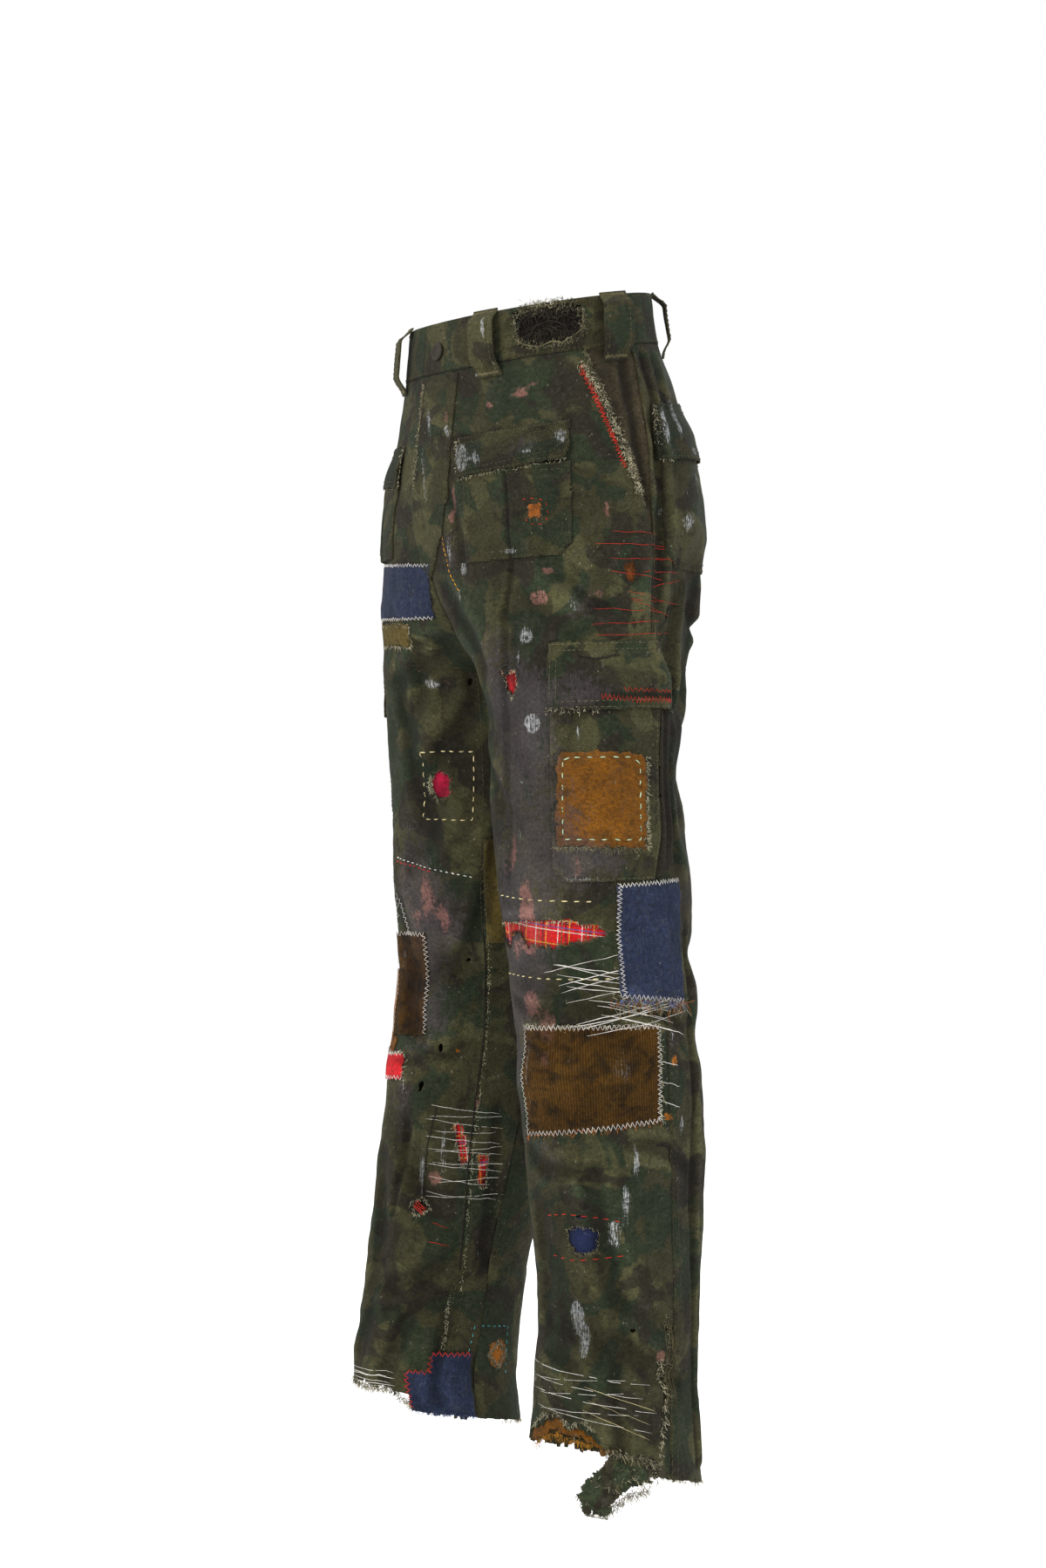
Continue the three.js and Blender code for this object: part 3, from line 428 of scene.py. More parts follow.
# ------------------------------------------------------------------ paint, grime and wear
# kind, side, s, level, half-size round and down, strength
BLOTS = [
    ("rust", -1, 198, -941, 11, 11, 2.2), ("rust", 1, -228, -16, 4, 5, 1.2),
    ("rust", 1, 22, -640, 5, 6, 1.0), ("rust", 1, 12, -690, 6, 5, .9), ("rust", -1, -108, -606, 3, 9, 1.4),
    ("rust", -1, -200, -648, 3, 3, 1.4), ("pale", 1, -150, -92, 12, 16, .8),
    ("pale", 1, -66, -82, 6, 10, .5), ("pale", 1, 38, -74, 5, 20, 1.0), ("pale", 1, 60, -160, 14, 16, .7),
    ("pale", 1, 86, -120, 12, 22, .7), ("pale", 1, -228, -120, 5, 60, .7), ("pale", 1, -214, -60, 6, 30, .6),
    ("pale", 1, -196, -180, 6, 26, .8), ("pale", 1, -182, -224, 10, 14, .7),
    ("pale", 1, -60, -240, 20, 10, .4), ("pale", 1, -90, -580, 16, 10, .5),
    ("pale", 1, -120, -640, 4, 30, .8), ("pale", 1, -40, -660, 30, 26, .35),
    ("pale", 1, 20, -620, 8, 20, .7), ("pale", 1, 30, -700, 6, 14, .7), ("pale", -1, -170, -470, 30, 5, .6),
    ("pale", -1, -130, -560, 6, 40, .7), ("pale", -1, -224, -760, 12, 50, .4),
    ("pink", 1, -118, -740, 8, 16, .5), ("pink", 1, -130, -540, 10, 16, .7),
    ("pink", -1, -214, -210, 6, 6, .5), ("wash", 1, -120, -400, 46, 130, 1.0),
    ("wash", 1, -125, -560, 42, 90, 1.0), ("wash", 1, -100, -330, 40, 50, .8),
    ("wash", 1, -150, -640, 26, 80, .9), ("wash", 1, -160, -90, 30, 20, .5),
    ("wash", 1, -110, -86, 50, 14, .5), ("wash", 1, -40, -312, 50, 16, .7),
    ("wash", 1, -30, -465, 60, 22, .8), ("wash", 1, -70, -420, 30, 60, .5),
    ("wash", 1, -110, -760, 30, 60, .6), ("wash", 1, -90, -720, 40, 30, .5),
    ("wash", 1, -80, -800, 40, 24, .6), ("wash", 1, -150, -300, 30, 50, .6),
    ("wash", 1, -60, -30, 30, 30, .35), ("wash", 1, -40, -230, 50, 30, .35),
    ("wash", -1, -150, -560, 40, 110, .9), ("wash", -1, -190, -520, 40, 60, .7),
    ("wash", -1, -180, -620, 30, 40, .6), ("wash", -1, -150, -440, 30, 60, .4),
    ("wash", -1, -140, -700, 30, 50, .5), ("wash", -1, -200, -80, 30, 60, .3),
    ("wash", 1, -208, -120, 16, 90, .6), ("wash", 1, -190, -200, 18, 60, .6),
    ("wash", 1, -100, -240, 40, 30, .4), ("pink", 1, -96, -33, 10, 5, 1.0), ("pink", 1, -84, -25, 12, 5, .7),
    ("pink", 1, -185, -46, 8, 12, .8), ("pink", 1, -130, -40, 5, 4, .8), ("pink", 1, -186, -130, 4, 14, .9),
    ("pink", 1, -192, -150, 5, 9, .8), ("pink", 1, -92, -229, 12, 8, 1.2), ("pink", 1, -84, -205, 9, 5, .9),
    ("pink", 1, -40, -225, 8, 7, .7), ("pink", 1, -128, -452, 7, 22, .9),
    ("pink", 1, -112, -500, 9, 26, 1.2), ("pink", 1, -110, -530, 10, 24, 1.1),
    ("pink", 1, -140, -470, 12, 20, .5), ("pink", 1, -116, -590, 12, 14, 1.2),
    ("pink", 1, -96, -612, 9, 18, 1.2), ("pink", 1, -100, -640, 6, 8, .9), ("pink", 1, -60, -470, 8, 16, .6),
    ("pink", 1, -70, -300, 5, 5, .4), ("pink", -1, -166, -500, 9, 26, 1.0),
    ("pink", -1, -182, -520, 7, 18, .9), ("pink", -1, -150, -520, 10, 14, .6),
    ("pink", -1, -206, -300, 4, 6, .7), ("pink", -1, -190, -770, 9, 8, 1.0),
    ("pink", -1, -226, -700, 4, 14, .7), ("pink", -1, -140, -480, 14, 10, .6),
    ("pink", 1, -30, -150, 5, 14, .7), ("pink", 1, -150, -260, 10, 8, .5), ("pink", 1, 2, -900, 5, 5, .9),
    ("pink", 1, -106, 20, 12, 8, .4), ("pink", 1, -180, 14, 12, 10, .5), ("pale", 1, -167, -92, 6, 13, 1.9),
    ("pale", 1, -120, 30, 3, 16, 1.0), ("pale", 1, -140, -8, 4, 6, .8), ("pale", 1, -98, -92, 8, 5, .8),
    ("pale", 1, -176, -200, 6, 8, 1.0), ("pale", 1, -104, -262, 8, 9, 1.3),
    ("pale", 1, -112, -282, 4, 12, .9), ("pale", 1, -98, -340, 8, 9, 1.7), ("pale", 1, -112, -392, 3, 5, .9),
    ("pale", 1, -118, -440, 3, 14, 1.0), ("pale", 1, -22, -338, 16, 9, .5),
    ("pale", 1, -56, -350, 2, 14, .7), ("pale", 1, -40, -288, 18, 22, .5),
    ("pale", 1, -22, -728, 5, 24, .95), ("pale", 1, -32, -762, 5, 22, 1.0),
    ("pale", 1, -44, -786, 8, 12, .9), ("pale", 1, -46, -800, 18, 6, .5), ("pale", 1, -78, -866, 7, 15, 1.9),
    ("pale", 1, -70, -886, 4, 12, 1.4), ("pale", 1, -72, -896, 5, 12, .8), ("pale", 1, -66, -930, 6, 14, .5),
    ("pale", 1, -130, -930, 8, 8, .8), ("pale", 1, 20, -930, 3, 30, .5), ("pale", -1, -190, -300, 8, 4, .8),
    ("pale", -1, -196, -740, 3, 40, .5), ("pale", -1, -175, -770, 4, 36, .8),
    ("pale", -1, -150, -650, 2, 60, .6), ("pale", -1, -160, -580, 2, 40, .4),
    ("pale", 1, -60, -478, 26, 3, .9), ("pale", 1, 30, -150, 5, 8, .8), ("pale", 1, 44, -240, 6, 8, .8),
    ("pale", 1, 60, -66, 4, 20, .7), ("pale", 1, -120, -186, 18, 3, .6), ("pale", 1, -60, -150, 3, 20, .5),
    ("pale", 1, -186, -60, 5, 6, .7), ("pale", 1, 6, -800, 3, 18, .4), ("pale", -1, -232, -840, 2, 60, .5),
    ("pale", 1, -150, -62, 5, 8, .5), ("pale", 1, 86, -96, 16, 4, .8), ("pale", 1, 60, -130, 12, 10, .5),
    ("pale", 1, -12, -460, 14, 5, .6),
]


def paint(side, s, v):
    """Strength of each kind of mark, and the painted shade and highlight of the folds."""
    marks = {kind: np.zeros(s.shape) for kind in ("wash", "pink", "pale", "rust")}
    for kind, b_side, bs, bv, rs, rv, strength in BLOTS:
        if b_side == side:
            marks[kind] += strength * np.exp(-((s - bs) / rs) ** 2 - ((v - bv) / rv) ** 2)
    marks["pink"] += 0.42 * np.clip(value_noise(s / 36 + 7, v / 50, 71), 0, 1)
    marks["pale"] += 0.55 * np.clip(value_noise(s / 30 + 3, v / 38, 72) - .1, 0, 1)
    marks["wash"] += 0.5 * np.clip(value_noise(s / 50 + 9, v / 90, 73), 0, 1)
    # Painted shade and highlight: lighter on the folds' tops, darker in their troughs and creases.
    total, sharp = relief(side, s, v, True)
    marks["crest"] = np.clip(0.5 + total / 10 + sharp / 7, 0, 1)
    return marks


# ------------------------------------------------------------------ meshes
def make_object(name, points, faces, smooth_faces, uv=None, attributes=None, material=None):
    """One mesh object from arrays. faces is an array of quads or triangles."""
    mesh = bpy.data.meshes.new(name)
    n, k = faces.shape
    mesh.vertices.add(len(points))
    mesh.vertices.foreach_set("co", points.astype(np.float32).ravel())
    mesh.loops.add(n * k)
    mesh.loops.foreach_set("vertex_index", faces.astype(np.int32).ravel())
    mesh.polygons.add(n)
    mesh.polygons.foreach_set("loop_start", np.arange(0, n * k, k, dtype=np.int32))
    mesh.polygons.foreach_set("use_smooth", np.broadcast_to(smooth_faces, n).astype(bool))
    if uv is not None:
        layer = mesh.uv_layers.new(name="Cloth")
        layer.data.foreach_set("uv", uv[faces.ravel()].astype(np.float32).ravel())
    for key, values in (attributes or {}).items():
        attribute = mesh.attributes.new(key, "FLOAT", "POINT")
        attribute.data.foreach_set("value", np.broadcast_to(values, len(points)).astype(np.float32))
    mesh.update()
    mesh.validate()
    piece = bpy.data.objects.new(name, mesh)
    bpy.context.scene.collection.objects.link(piece)
    if material is not None:
        mesh.materials.append(material)
    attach(piece, "root")
    return piece


def shell(name, side, s_grid, v_grid, out, thick, material, keep=None, worn=None, shift=(0.0, 0.0),
          tone=1.0, spacing=3.0):
    """A wall of cloth over a net of s and level, cut by the field keep."""
    s, v = s_grid.astype(float).copy(), v_grid.astype(float).copy()
    if keep is not None:
        for _ in range(2):
            d = keep(s, v)
            e = 0.4
            gs = (keep(s + e, v) - keep(s - e, v)) / (2 * e)
            gv = (keep(s, v + e) - keep(s, v - e)) / (2 * e)
            size = np.maximum(np.hypot(gs, gv), 0.35)
            near = np.abs(d) < 0.5 * spacing
            step = np.where(near, d / size, 0)
            s, v = s - step * gs / size, v - step * gv / size
        d = keep(s_grid, v_grid)
        whole = (keep(0.25 * (s_grid[:-1, :-1] + s_grid[1:, :-1] + s_grid[:-1, 1:] + s_grid[1:, 1:]),
                      0.25 * (v_grid[:-1, :-1] + v_grid[1:, :-1] + v_grid[:-1, 1:] + v_grid[1:, 1:])) > 0)
    else:
        d = np.full(s.shape, 50.0)
        whole = np.ones((s.shape[0] - 1, s.shape[1] - 1), bool)
    offset = height_of(out, s, v) + np.zeros(s.shape)
    outer, inner = cloth(side, s, v, offset + thick), cloth(side, s, v, offset)
    nv, nu = s.shape
    index = np.arange(nv * nu).reshape(nv, nu)
    a, b, c, e = index[:-1, :-1][whole], index[1:, :-1][whole], index[1:, 1:][whole], index[:-1, 1:][whole]
    quads = np.stack([a, b, c, e], -1)
    if side < 0:
        quads = quads[:, ::-1]
    directed = np.concatenate([quads[:, [k, (k + 1) % 4]] for k in range(4)])
    keys = directed[:, 0].astype(np.int64) * (nv * nu) + directed[:, 1]
    twins = directed[:, 1].astype(np.int64) * (nv * nu) + directed[:, 0]
    rim = directed[~np.isin(keys, twins)]
    layer = nv * nu
    rim_quads = np.stack([rim[:, 1], rim[:, 0], rim[:, 0] + layer, rim[:, 1] + layer], -1)
    faces = np.concatenate([quads, quads[:, ::-1] + layer, rim_quads])
    points = np.concatenate([outer.reshape(-1, 3), inner.reshape(-1, 3)])
    used = np.unique(faces)
    remap = np.zeros(2 * layer, int)
    remap[used] = np.arange(len(used))
    marks = paint(side, s, v)
    marks["edge"] = np.exp(-np.clip(d, 0, None) / 2.6) if keep is not None else np.zeros(s.shape)
    if worn is not None:
        marks["edge"] = np.maximum(marks["edge"], worn(s, v))
    attributes = {key: np.tile(values.ravel(), 2)[used] for key, values in marks.items()}
    attributes["inner"] = np.repeat([0.0, 1.0], layer)[used]
    attributes["tone"] = np.tile(tone(s, v).ravel(), 2)[used] if callable(tone) else tone
    uv = np.stack([s.ravel() * MM + shift[0], v.ravel() * MM + shift[1]], -1)
    uv = np.concatenate([uv, uv])[used]
    flags = np.concatenate([np.ones(2 * len(quads), bool), np.zeros(len(rim_quads), bool)])
    return make_object(name, points[used], remap[faces], flags, uv, attributes, material)


def patch(name, side, outline, out, thick, material, spacing=2.4, torn=0.0, seed=3, **options):
    """A piece that lies on the cloth inside an outline."""
    pts = np.array(outline, float)
    low, high = pts.min(0) - spacing, pts.max(0) + spacing
    s_line = np.linspace(low[0], high[0], max(3, int((high[0] - low[0]) / spacing) + 1))
    v_line = np.linspace(high[1], low[1], max(3, int((high[1] - low[1]) / spacing) + 1))
    s_grid, v_grid = np.meshgrid(s_line, v_line)
    field = ragged(outline, torn, seed) if torn else (lambda s, v: inside_of(outline, s, v))
    return shell(name, side, s_grid, v_grid, out, thick, material, keep=field, spacing=spacing, **options)


def height_of(layer, s, v):
    """A layer is a height, or a function of s and level."""
    return layer(s, v) if callable(layer) else layer


def resample(points, step):
    """Even points along a path in s and level."""
    pts = np.array(points, float)
    run = np.r_[0, np.cumsum(np.hypot(*np.diff(pts, axis=0).T))]
    count = max(2, int(round(run[-1] / step)) + 1)
    even = np.linspace(0, run[-1], count)
    return np.stack([np.interp(even, run, pts[:, 0]), np.interp(even, run, pts[:, 1])], -1)


def tubes(name, runs, radii, material, tone, sides=4):
    """Joined fine tubes along polylines, runs as an array of (count, points, 3) in metres."""
    count, length, _ = runs.shape
    tangent = np.gradient(runs, axis=1)
    tangent /= np.maximum(np.linalg.norm(tangent, axis=-1, keepdims=True), 1e-12)
    helper = np.where(np.abs(tangent[:, :1, 2:]) > 0.9, [[[1.0, 0, 0]]], [[[0, 0, 1.0]]])
    first = np.cross(tangent, np.broadcast_to(helper, tangent.shape))
    first /= np.maximum(np.linalg.norm(first, axis=-1, keepdims=True), 1e-12)
    second = np.cross(tangent, first)
    shape = np.ones(length)
    shape[0] = shape[-1] = THREAD_END
    radii = (radii * MM)[:, None] * shape
    angle = np.arange(sides) * 2 * math.pi / sides
    ring = (first[:, :, None] * np.cos(angle)[:, None] + second[:, :, None] * np.sin(angle)[:, None])
    points = runs[:, :, None] + ring * radii[:, :, None, None]
    index = np.arange(count * length * sides).reshape(count, length, sides)
    a, b = index[:, :-1], index[:, 1:]
    faces = np.stack([a, np.roll(a, -1, 2), np.roll(b, -1, 2), b], -1).reshape(-1, 4)
    if sides == 4:
        faces = np.concatenate([faces, index[:, 0, ::-1], index[:, -1]])
    attributes = {"tone": np.repeat(tone, length * sides)}
    return make_object(name, points.reshape(-1, 3), faces, True, None, attributes, material)


class Threads:
    """Gathers threads of one colour, which become one joined mesh."""

    def __init__(self, name, material, seed):
        self.name, self.material = name, material
        self.random = np.random.default_rng(seed)
        self.groups = {}

    def add(self, runs, radius, tone=1.0):
        runs = np.asarray(runs, float)
        key = runs.shape[1]
        self.groups.setdefault(key, []).append(
            (runs, np.full(len(runs), float(radius)), np.broadcast_to(np.asarray(tone, float), len(runs))))

    def line(self, side, path, out, radius, sag=0.3, step=4.0):
        """A thread laid on the cloth along a path."""
        pts = resample(path, step)
        pts = pts + self.random.normal(0, 0.25, pts.shape)
        bow = sag * np.sin(np.linspace(0, math.pi, len(pts)))
        height = height_of(out, pts[:, 0], pts[:, 1]) + radius + bow
        self.add(cloth(side, pts[:, 0], pts[:, 1], height)[None], radius)

    def running(self, side, path, out, length=5.0, gap=4.0, radius=0.5, jitter=0.4):
        """Running stitches along a path."""
        pts = resample(path, 0.5)
        run = np.r_[0, np.cumsum(np.hypot(*np.diff(pts, axis=0).T))]
        starts = np.arange(0, run[-1] - length * 0.7, length + gap)
        if not len(starts):
            return
        starts = starts + self.random.uniform(-jitter, jitter, len(starts))
        size = length * self.random.uniform(0.85, 1.1, len(starts))
        t = starts[:, None] + size[:, None] * np.linspace(0, 1, 4)
        s, v = np.interp(t, run, pts[:, 0]), np.interp(t, run, pts[:, 1])
        side_shift = self.random.normal(0, jitter * 0.5, (len(starts), 2))
        tilt = np.linspace(-1, 1, 4)
        s = s + side_shift[:, :1] * tilt
        v = v + side_shift[:, 1:] * tilt
        height = height_of(out, s, v) + radius * np.array([-0.8, 0.95, 0.95, -0.8])
        self.add(cloth(side, s, v, np.broadcast_to(height, s.shape)), radius)

    def zigzag(self, side, path, out, width=5.0, pitch=3.0, radius=0.4):
        """Zigzag stitches along a path."""
        pts = resample(path, pitch / 2)
        direction = np.gradient(pts, axis=0)
        direction /= np.maximum(np.linalg.norm(direction, axis=1, keepdims=True), 1e-9)
        across = np.stack([-direction[:, 1], direction[:, 0]], -1)
        swing = np.where(np.arange(len(pts)) % 2 == 0, 0.5, -0.5) * width
        corner = pts + across * (swing * self.random.uniform(0.8, 1.15, len(pts)))[:, None]
        corner += self.random.normal(0, 0.2, corner.shape)
        t = np.linspace(0, 1, 4)
        seg = corner[:-1, None] * (1 - t[:, None]) + corner[1:, None] * t[:, None]
        height = height_of(out, seg[..., 0], seg[..., 1]) + radius * np.array([-0.3, 1.0, 1.0, -0.3])
        self.add(cloth(side, seg[..., 0], seg[..., 1], np.broadcast_to(height, seg.shape[:2])), radius)

    def hatch(self, side, rows, out, radius=0.4):
        """Long loose darning threads: each row is s0, v0, s1, v1."""
        for s0, v0, s1, v1 in rows:
            t = np.linspace(0, 1, 9)
            s = s0 + (s1 - s0) * t + self.random.normal(0, 0.5, 9)
            v = v0 + (v1 - v0) * t + self.random.normal(0, 0.35, 9)
            height = height_of(out, s, v) + radius * (0.6 + 1.2 * np.sin(np.pi * t))
            self.add(cloth(side, s, v, height)[None], radius * self.random.uniform(0.75, 1.2))

    def finish(self):
        pieces = []
        for key, group in sorted(self.groups.items()):
            runs = np.concatenate([g[0] for g in group])
            radii = np.concatenate([g[1] for g in group])
            tone = np.concatenate([g[2] for g in group])
            pieces.append(tubes(f"{self.name}_{key}", runs, radii, self.material, tone))
        return pieces


def fray(name, material, rows, seed):
    """Frayed yarns. Each row: side, path of s and level, out, strands per mm, length, spread, lean.

    lean is the direction that the yarns leave in, as (round, down)."""
    random = np.random.default_rng(seed)
    all_runs, tones = [], []
    for side, path, out, density, length, spread, lean in rows:
        pts = resample(path, 1.0)
        count = max(3, int(len(pts) * density))
        where = random.integers(0, len(pts), count)
        base = pts[where] + random.normal(0, spread, (count, 2))
        reach_mm = length * random.uniform(0.3, 1.3, count)
        angle = math.atan2(-lean[1], lean[0]) + random.normal(0, 0.9, count)
        t = np.linspace(0, 1, FRAY_STEPS)
        curl = random.normal(0, 1.5, count)[:, None] * t
        du = np.cumsum(np.cos(angle[:, None] + curl), axis=1) / FRAY_STEPS * reach_mm[:, None]
        dv = np.cumsum(np.sin(angle[:, None] + curl), axis=1) / FRAY_STEPS * reach_mm[:, None]
        dv = dv - 0.25 * reach_mm[:, None] * t ** 2
        lift = out + np.abs(random.normal(0.3, 0.35, count))[:, None] * reach_mm[:, None] * t * 0.8
        points = cloth(side, base[:, :1] + du, base[:, 1:] + dv, lift)
        all_runs.append(points)
        tones.append(random.uniform(0.45, 1.25, count))
    runs = np.concatenate(all_runs)
    radii = sizes().strand * random.uniform(0.7, 1.3, len(runs))
    return tubes(name, runs, radii, material, np.concatenate(tones), sides=3)


# ------------------------------------------------------------------ materials
def add(tree, kind, sockets=None, **settings):
    """Adds a shader node. sockets fills its inputs, each with a node, a socket or a plain value."""
    made = tree.nodes.new("ShaderNode" + kind)
    for key, value in settings.items():
        setattr(made, key, value)
    for key, source in (sockets or {}).items():
        if isinstance(source, bpy.types.Node):
            source = source.outputs[0]
        if isinstance(source, bpy.types.NodeSocket):
            tree.links.new(source, made.inputs[key])
        else:
            made.inputs[key].default_value = source
    return made


def rgba(code):
    return (*(linear(code) if isinstance(code, str) else tuple(code)), 1.0)


def start_material(name, roughness, sheen=0.0):
    """A material with only its shader: the material, its node tree and the shader."""
    material = bpy.data.materials.new(name)
    material.use_nodes = True
    tree = material.node_tree
    tree.nodes.clear()
    shader = add(tree, "BsdfPrincipled", {"Roughness": roughness, "IOR": 1.5, "Sheen Weight": sheen,
                                          "Sheen Roughness": 0.6, "Specular IOR Level": 0.1})
    output = add(tree, "OutputMaterial", {"Surface": shader.outputs["BSDF"]})
    output.is_active_output = True
    return material, tree, shader


def cloth_coordinates(tree, shift=(0.0, 0.0, 0.0)):
    """The flat cloth's own coordinates in millimetres."""
    flat = add(tree, "UVMap", uv_map="Cloth")
    scaled = add(tree, "VectorMath", {0: flat, 1: (1000, 1000, 1000)}, operation="MULTIPLY")
    return add(tree, "VectorMath", {0: scaled, 1: shift}, operation="ADD")


def finish_cloth(tree, shader, colour_in, height, inside, dirt=1.0):
    """Grime, paint, wear, and painted highlight and shade on the folds, over any cloth's own colour."""
    mm = cloth_coordinates(tree)
    tint = tints()
    mark = {key: add(tree, "Attribute", attribute_name=key).outputs["Fac"]
            for key in ("wash", "pink", "pale", "rust", "edge", "crest", "inner", "tone")}
    broad = add(tree, "TexNoise", {"Vector": mm, "Scale": 1 / 38, "Detail": 5, "Roughness": .62,
                                   "Distortion": .6})
    fine = add(tree, "TexNoise", {"Vector": mm, "Scale": 1 / 3.4, "Detail": 4, "Roughness": .7})
    torn = add(tree, "TexNoise", {"Vector": mm, "Scale": 1 / 11, "Detail": 6, "Roughness": .72,
                                  "Distortion": 1.1})
    # Dry scratches: noise drawn out along three slants.
    scratches = []
    for turn, shift, wide, long in ((.5, 0, 1.4, 20), (-.9, 70, 1.2, 14), (.1, 140, .8, 9)):
        slanted = add(tree, "Mapping", {"Vector": mm, "Rotation": (0, 0, turn), "Location": (shift, 0, 0),
                                        "Scale": (1 / wide, 1 / long, 1)})
        scratches.append(add(tree, "TexNoise",
                             {"Vector": slanted, "Scale": 1, "Detail": 4, "Roughness": .7}))
    scratch = add(tree, "Math", {0: scratches[0], 1: scratches[1]}, operation="MAXIMUM")
    flaked = add(tree, "Math", {0: scratch, 1: scratches[2]}, operation="MAXIMUM")
    blotch = add(tree, "Math", {0: add(tree, "Math", {0: torn, 1: scratches[2]}, operation="ADD"), 1: .5},
                 operation="MULTIPLY")
    # Mottling a few millimetres across: dull greyed patches and dark greasy ones.
    grey = add(tree, "TexNoise", {"Vector": mm, "Scale": 1 / 9, "Detail": 6, "Roughness": .7,
                                  "Distortion": 1.4})
    dull = add(tree, "MapRange", {0: grey, 1: .5, 2: .62, 3: 0, 4: .32 * dirt})
    colour_in = add(tree, "MixRGB", {0: dull, 1: colour_in, 2: rgba("#403d35")})
    greasy = add(tree, "MapRange", {0: grey, 1: .47, 2: .37, 3: 0, 4: .55 * dirt})
    colour_in = add(tree, "MixRGB", {0: greasy, 1: colour_in, 2: rgba("#1f1d19")})
    # Grime: a thin mauve-grey film, broken up by the scratches, thickest where the mark is strong.
    amount = add(tree, "Math", {0: torn, 1: scratch}, operation="MULTIPLY")
    amount = add(tree, "Math", {0: amount, 1: mark["wash"]}, operation="MULTIPLY")
    amount = add(tree, "MapRange", {0: amount, 1: .19, 2: .33, 3: 0, 4: .66 * dirt},
                 interpolation_type="SMOOTHSTEP")
    result = add(tree, "MixRGB", {0: amount, 1: colour_in, 2: rgba(tint.wash)})
    # Paint: where the mark and the noise together pass a level, broken up by the scratches.
    for key, colour_code, source, low, high, most in (("rust", linear("#9c5c18"), torn, .84, .93, .9),
                                                      ("pink", tint.pink, blotch, .86, .98, .6),
                                                      ("pale", tint.paint, flaked, .96, 1.04, .72)):
        held = add(tree, "Math", {0: mark[key], 1: {"rust": 1.25, "pink": .85, "pale": .8}[key]},
                   operation="MINIMUM")
        reached = add(tree, "Math", {0: held, 1: .5, 2: source}, operation="MULTIPLY_ADD")
        reached = add(tree, "Math", {0: fine, 1: .3, 2: reached}, operation="MULTIPLY_ADD")
        reached = add(tree, "MapRange", {0: reached, 1: low + .1, 2: high + .1, 3: 0, 4: most * dirt})
        result = add(tree, "MixRGB", {0: reached, 1: result, 2: rgba(colour_code)})
    # Scattered flecks of pale paint and lint.
    flecks = add(tree, "TexVoronoi", {"Vector": add(tree, "Mapping", {"Vector": mm, "Scale": (1.6, .8, 1)}),
                                      "Scale": 1 / 11, "Randomness": 1})
    fleck = add(tree, "MapRange", {0: flecks.outputs["Distance"], 1: .09, 2: .05, 3: 0, 4: .45 * dirt})
    result = add(tree, "MixRGB", {0: fleck, 1: result, 2: rgba("#8d887c")})
    # Wear: the cut and folded edges have lost their dye.
    worn = add(tree, "Math", {0: mark["edge"], 1: torn}, operation="MULTIPLY")
    worn = add(tree, "MapRange", {0: worn, 1: .26, 2: .58, 3: 0, 4: .26})
    result = add(tree, "MixRGB", {0: worn, 1: result, 2: rgba("#565240")})
    # Yarn-scale mottling, with painted highlight on the folds' tops and painted shade in their troughs.
    speck = add(tree, "MapRange", {0: fine, 1: .28, 2: .72, 3: .6, 4: 1.4})
    cloud = add(tree, "MapRange", {0: broad, 1: .3, 2: .7, 3: .78, 4: 1.2})
    crest = add(tree, "MapRange", {0: mark["crest"], 1: .1, 2: .85, 3: .55, 4: 1.35})
    shade = add(tree, "Math", {0: speck, 1: cloud}, operation="MULTIPLY")
    shade = add(tree, "Math", {0: shade, 1: crest}, operation="MULTIPLY")
    # tone holds painted shade on some pieces: the cargo gusset and the fold of the front pocket's pleat.
    shade = add(tree, "Math", {0: shade, 1: mark["tone"]}, operation="MULTIPLY")
    yarns = add(tree, "TexNoise", {"Vector": mm, "Scale": 1 / 1.3, "Detail": 2, "Roughness": .8})
    yarns = add(tree, "MapRange", {0: yarns, 1: .3, 2: .7, 3: .55, 4: 1.15})
    shade = add(tree, "Math", {0: shade, 1: yarns}, operation="MULTIPLY")
    result = add(tree, "MixRGB", {0: 1.0, 1: result, 2: shade}, blend_type="MULTIPLY")
    result = add(tree, "MixRGB", {0: mark["inner"], 1: result, 2: inside})
    tree.links.new(result.outputs[0], shader.inputs["Base Color"])
    # Relief: the weave and small crumples.
    crumple = add(tree, "TexNoise", {"Vector": mm, "Scale": 1 / 8, "Detail": 4, "Roughness": .6,
                                     "Distortion": .5})
    relief_in = add(tree, "Math", {0: crumple, 1: 1.6, 2: height}, operation="MULTIPLY_ADD")
    relief_in = add(tree, "Math", {0: fine, 1: .35, 2: relief_in}, operation="MULTIPLY_ADD")
    bump = add(tree, "Bump", {"Strength": .9, "Distance": .7 * MM, "Height": relief_in})
    tree.links.new(bump.outputs[0], shader.inputs["Normal"])


def twill(tree, mm, pitch, angle=0.9):
    """Diagonal ribs of a twill; drawn at a coarser pitch than real yarn so that they show."""
    turned = add(tree, "Mapping", {"Vector": mm, "Rotation": (0, 0, angle)})
    return add(tree, "TexWave", {"Vector": turned, "Scale": .314 / pitch, "Distortion": .6, "Detail": 1,
                                 "Detail Scale": 2}, bands_direction="X").outputs["Fac"]


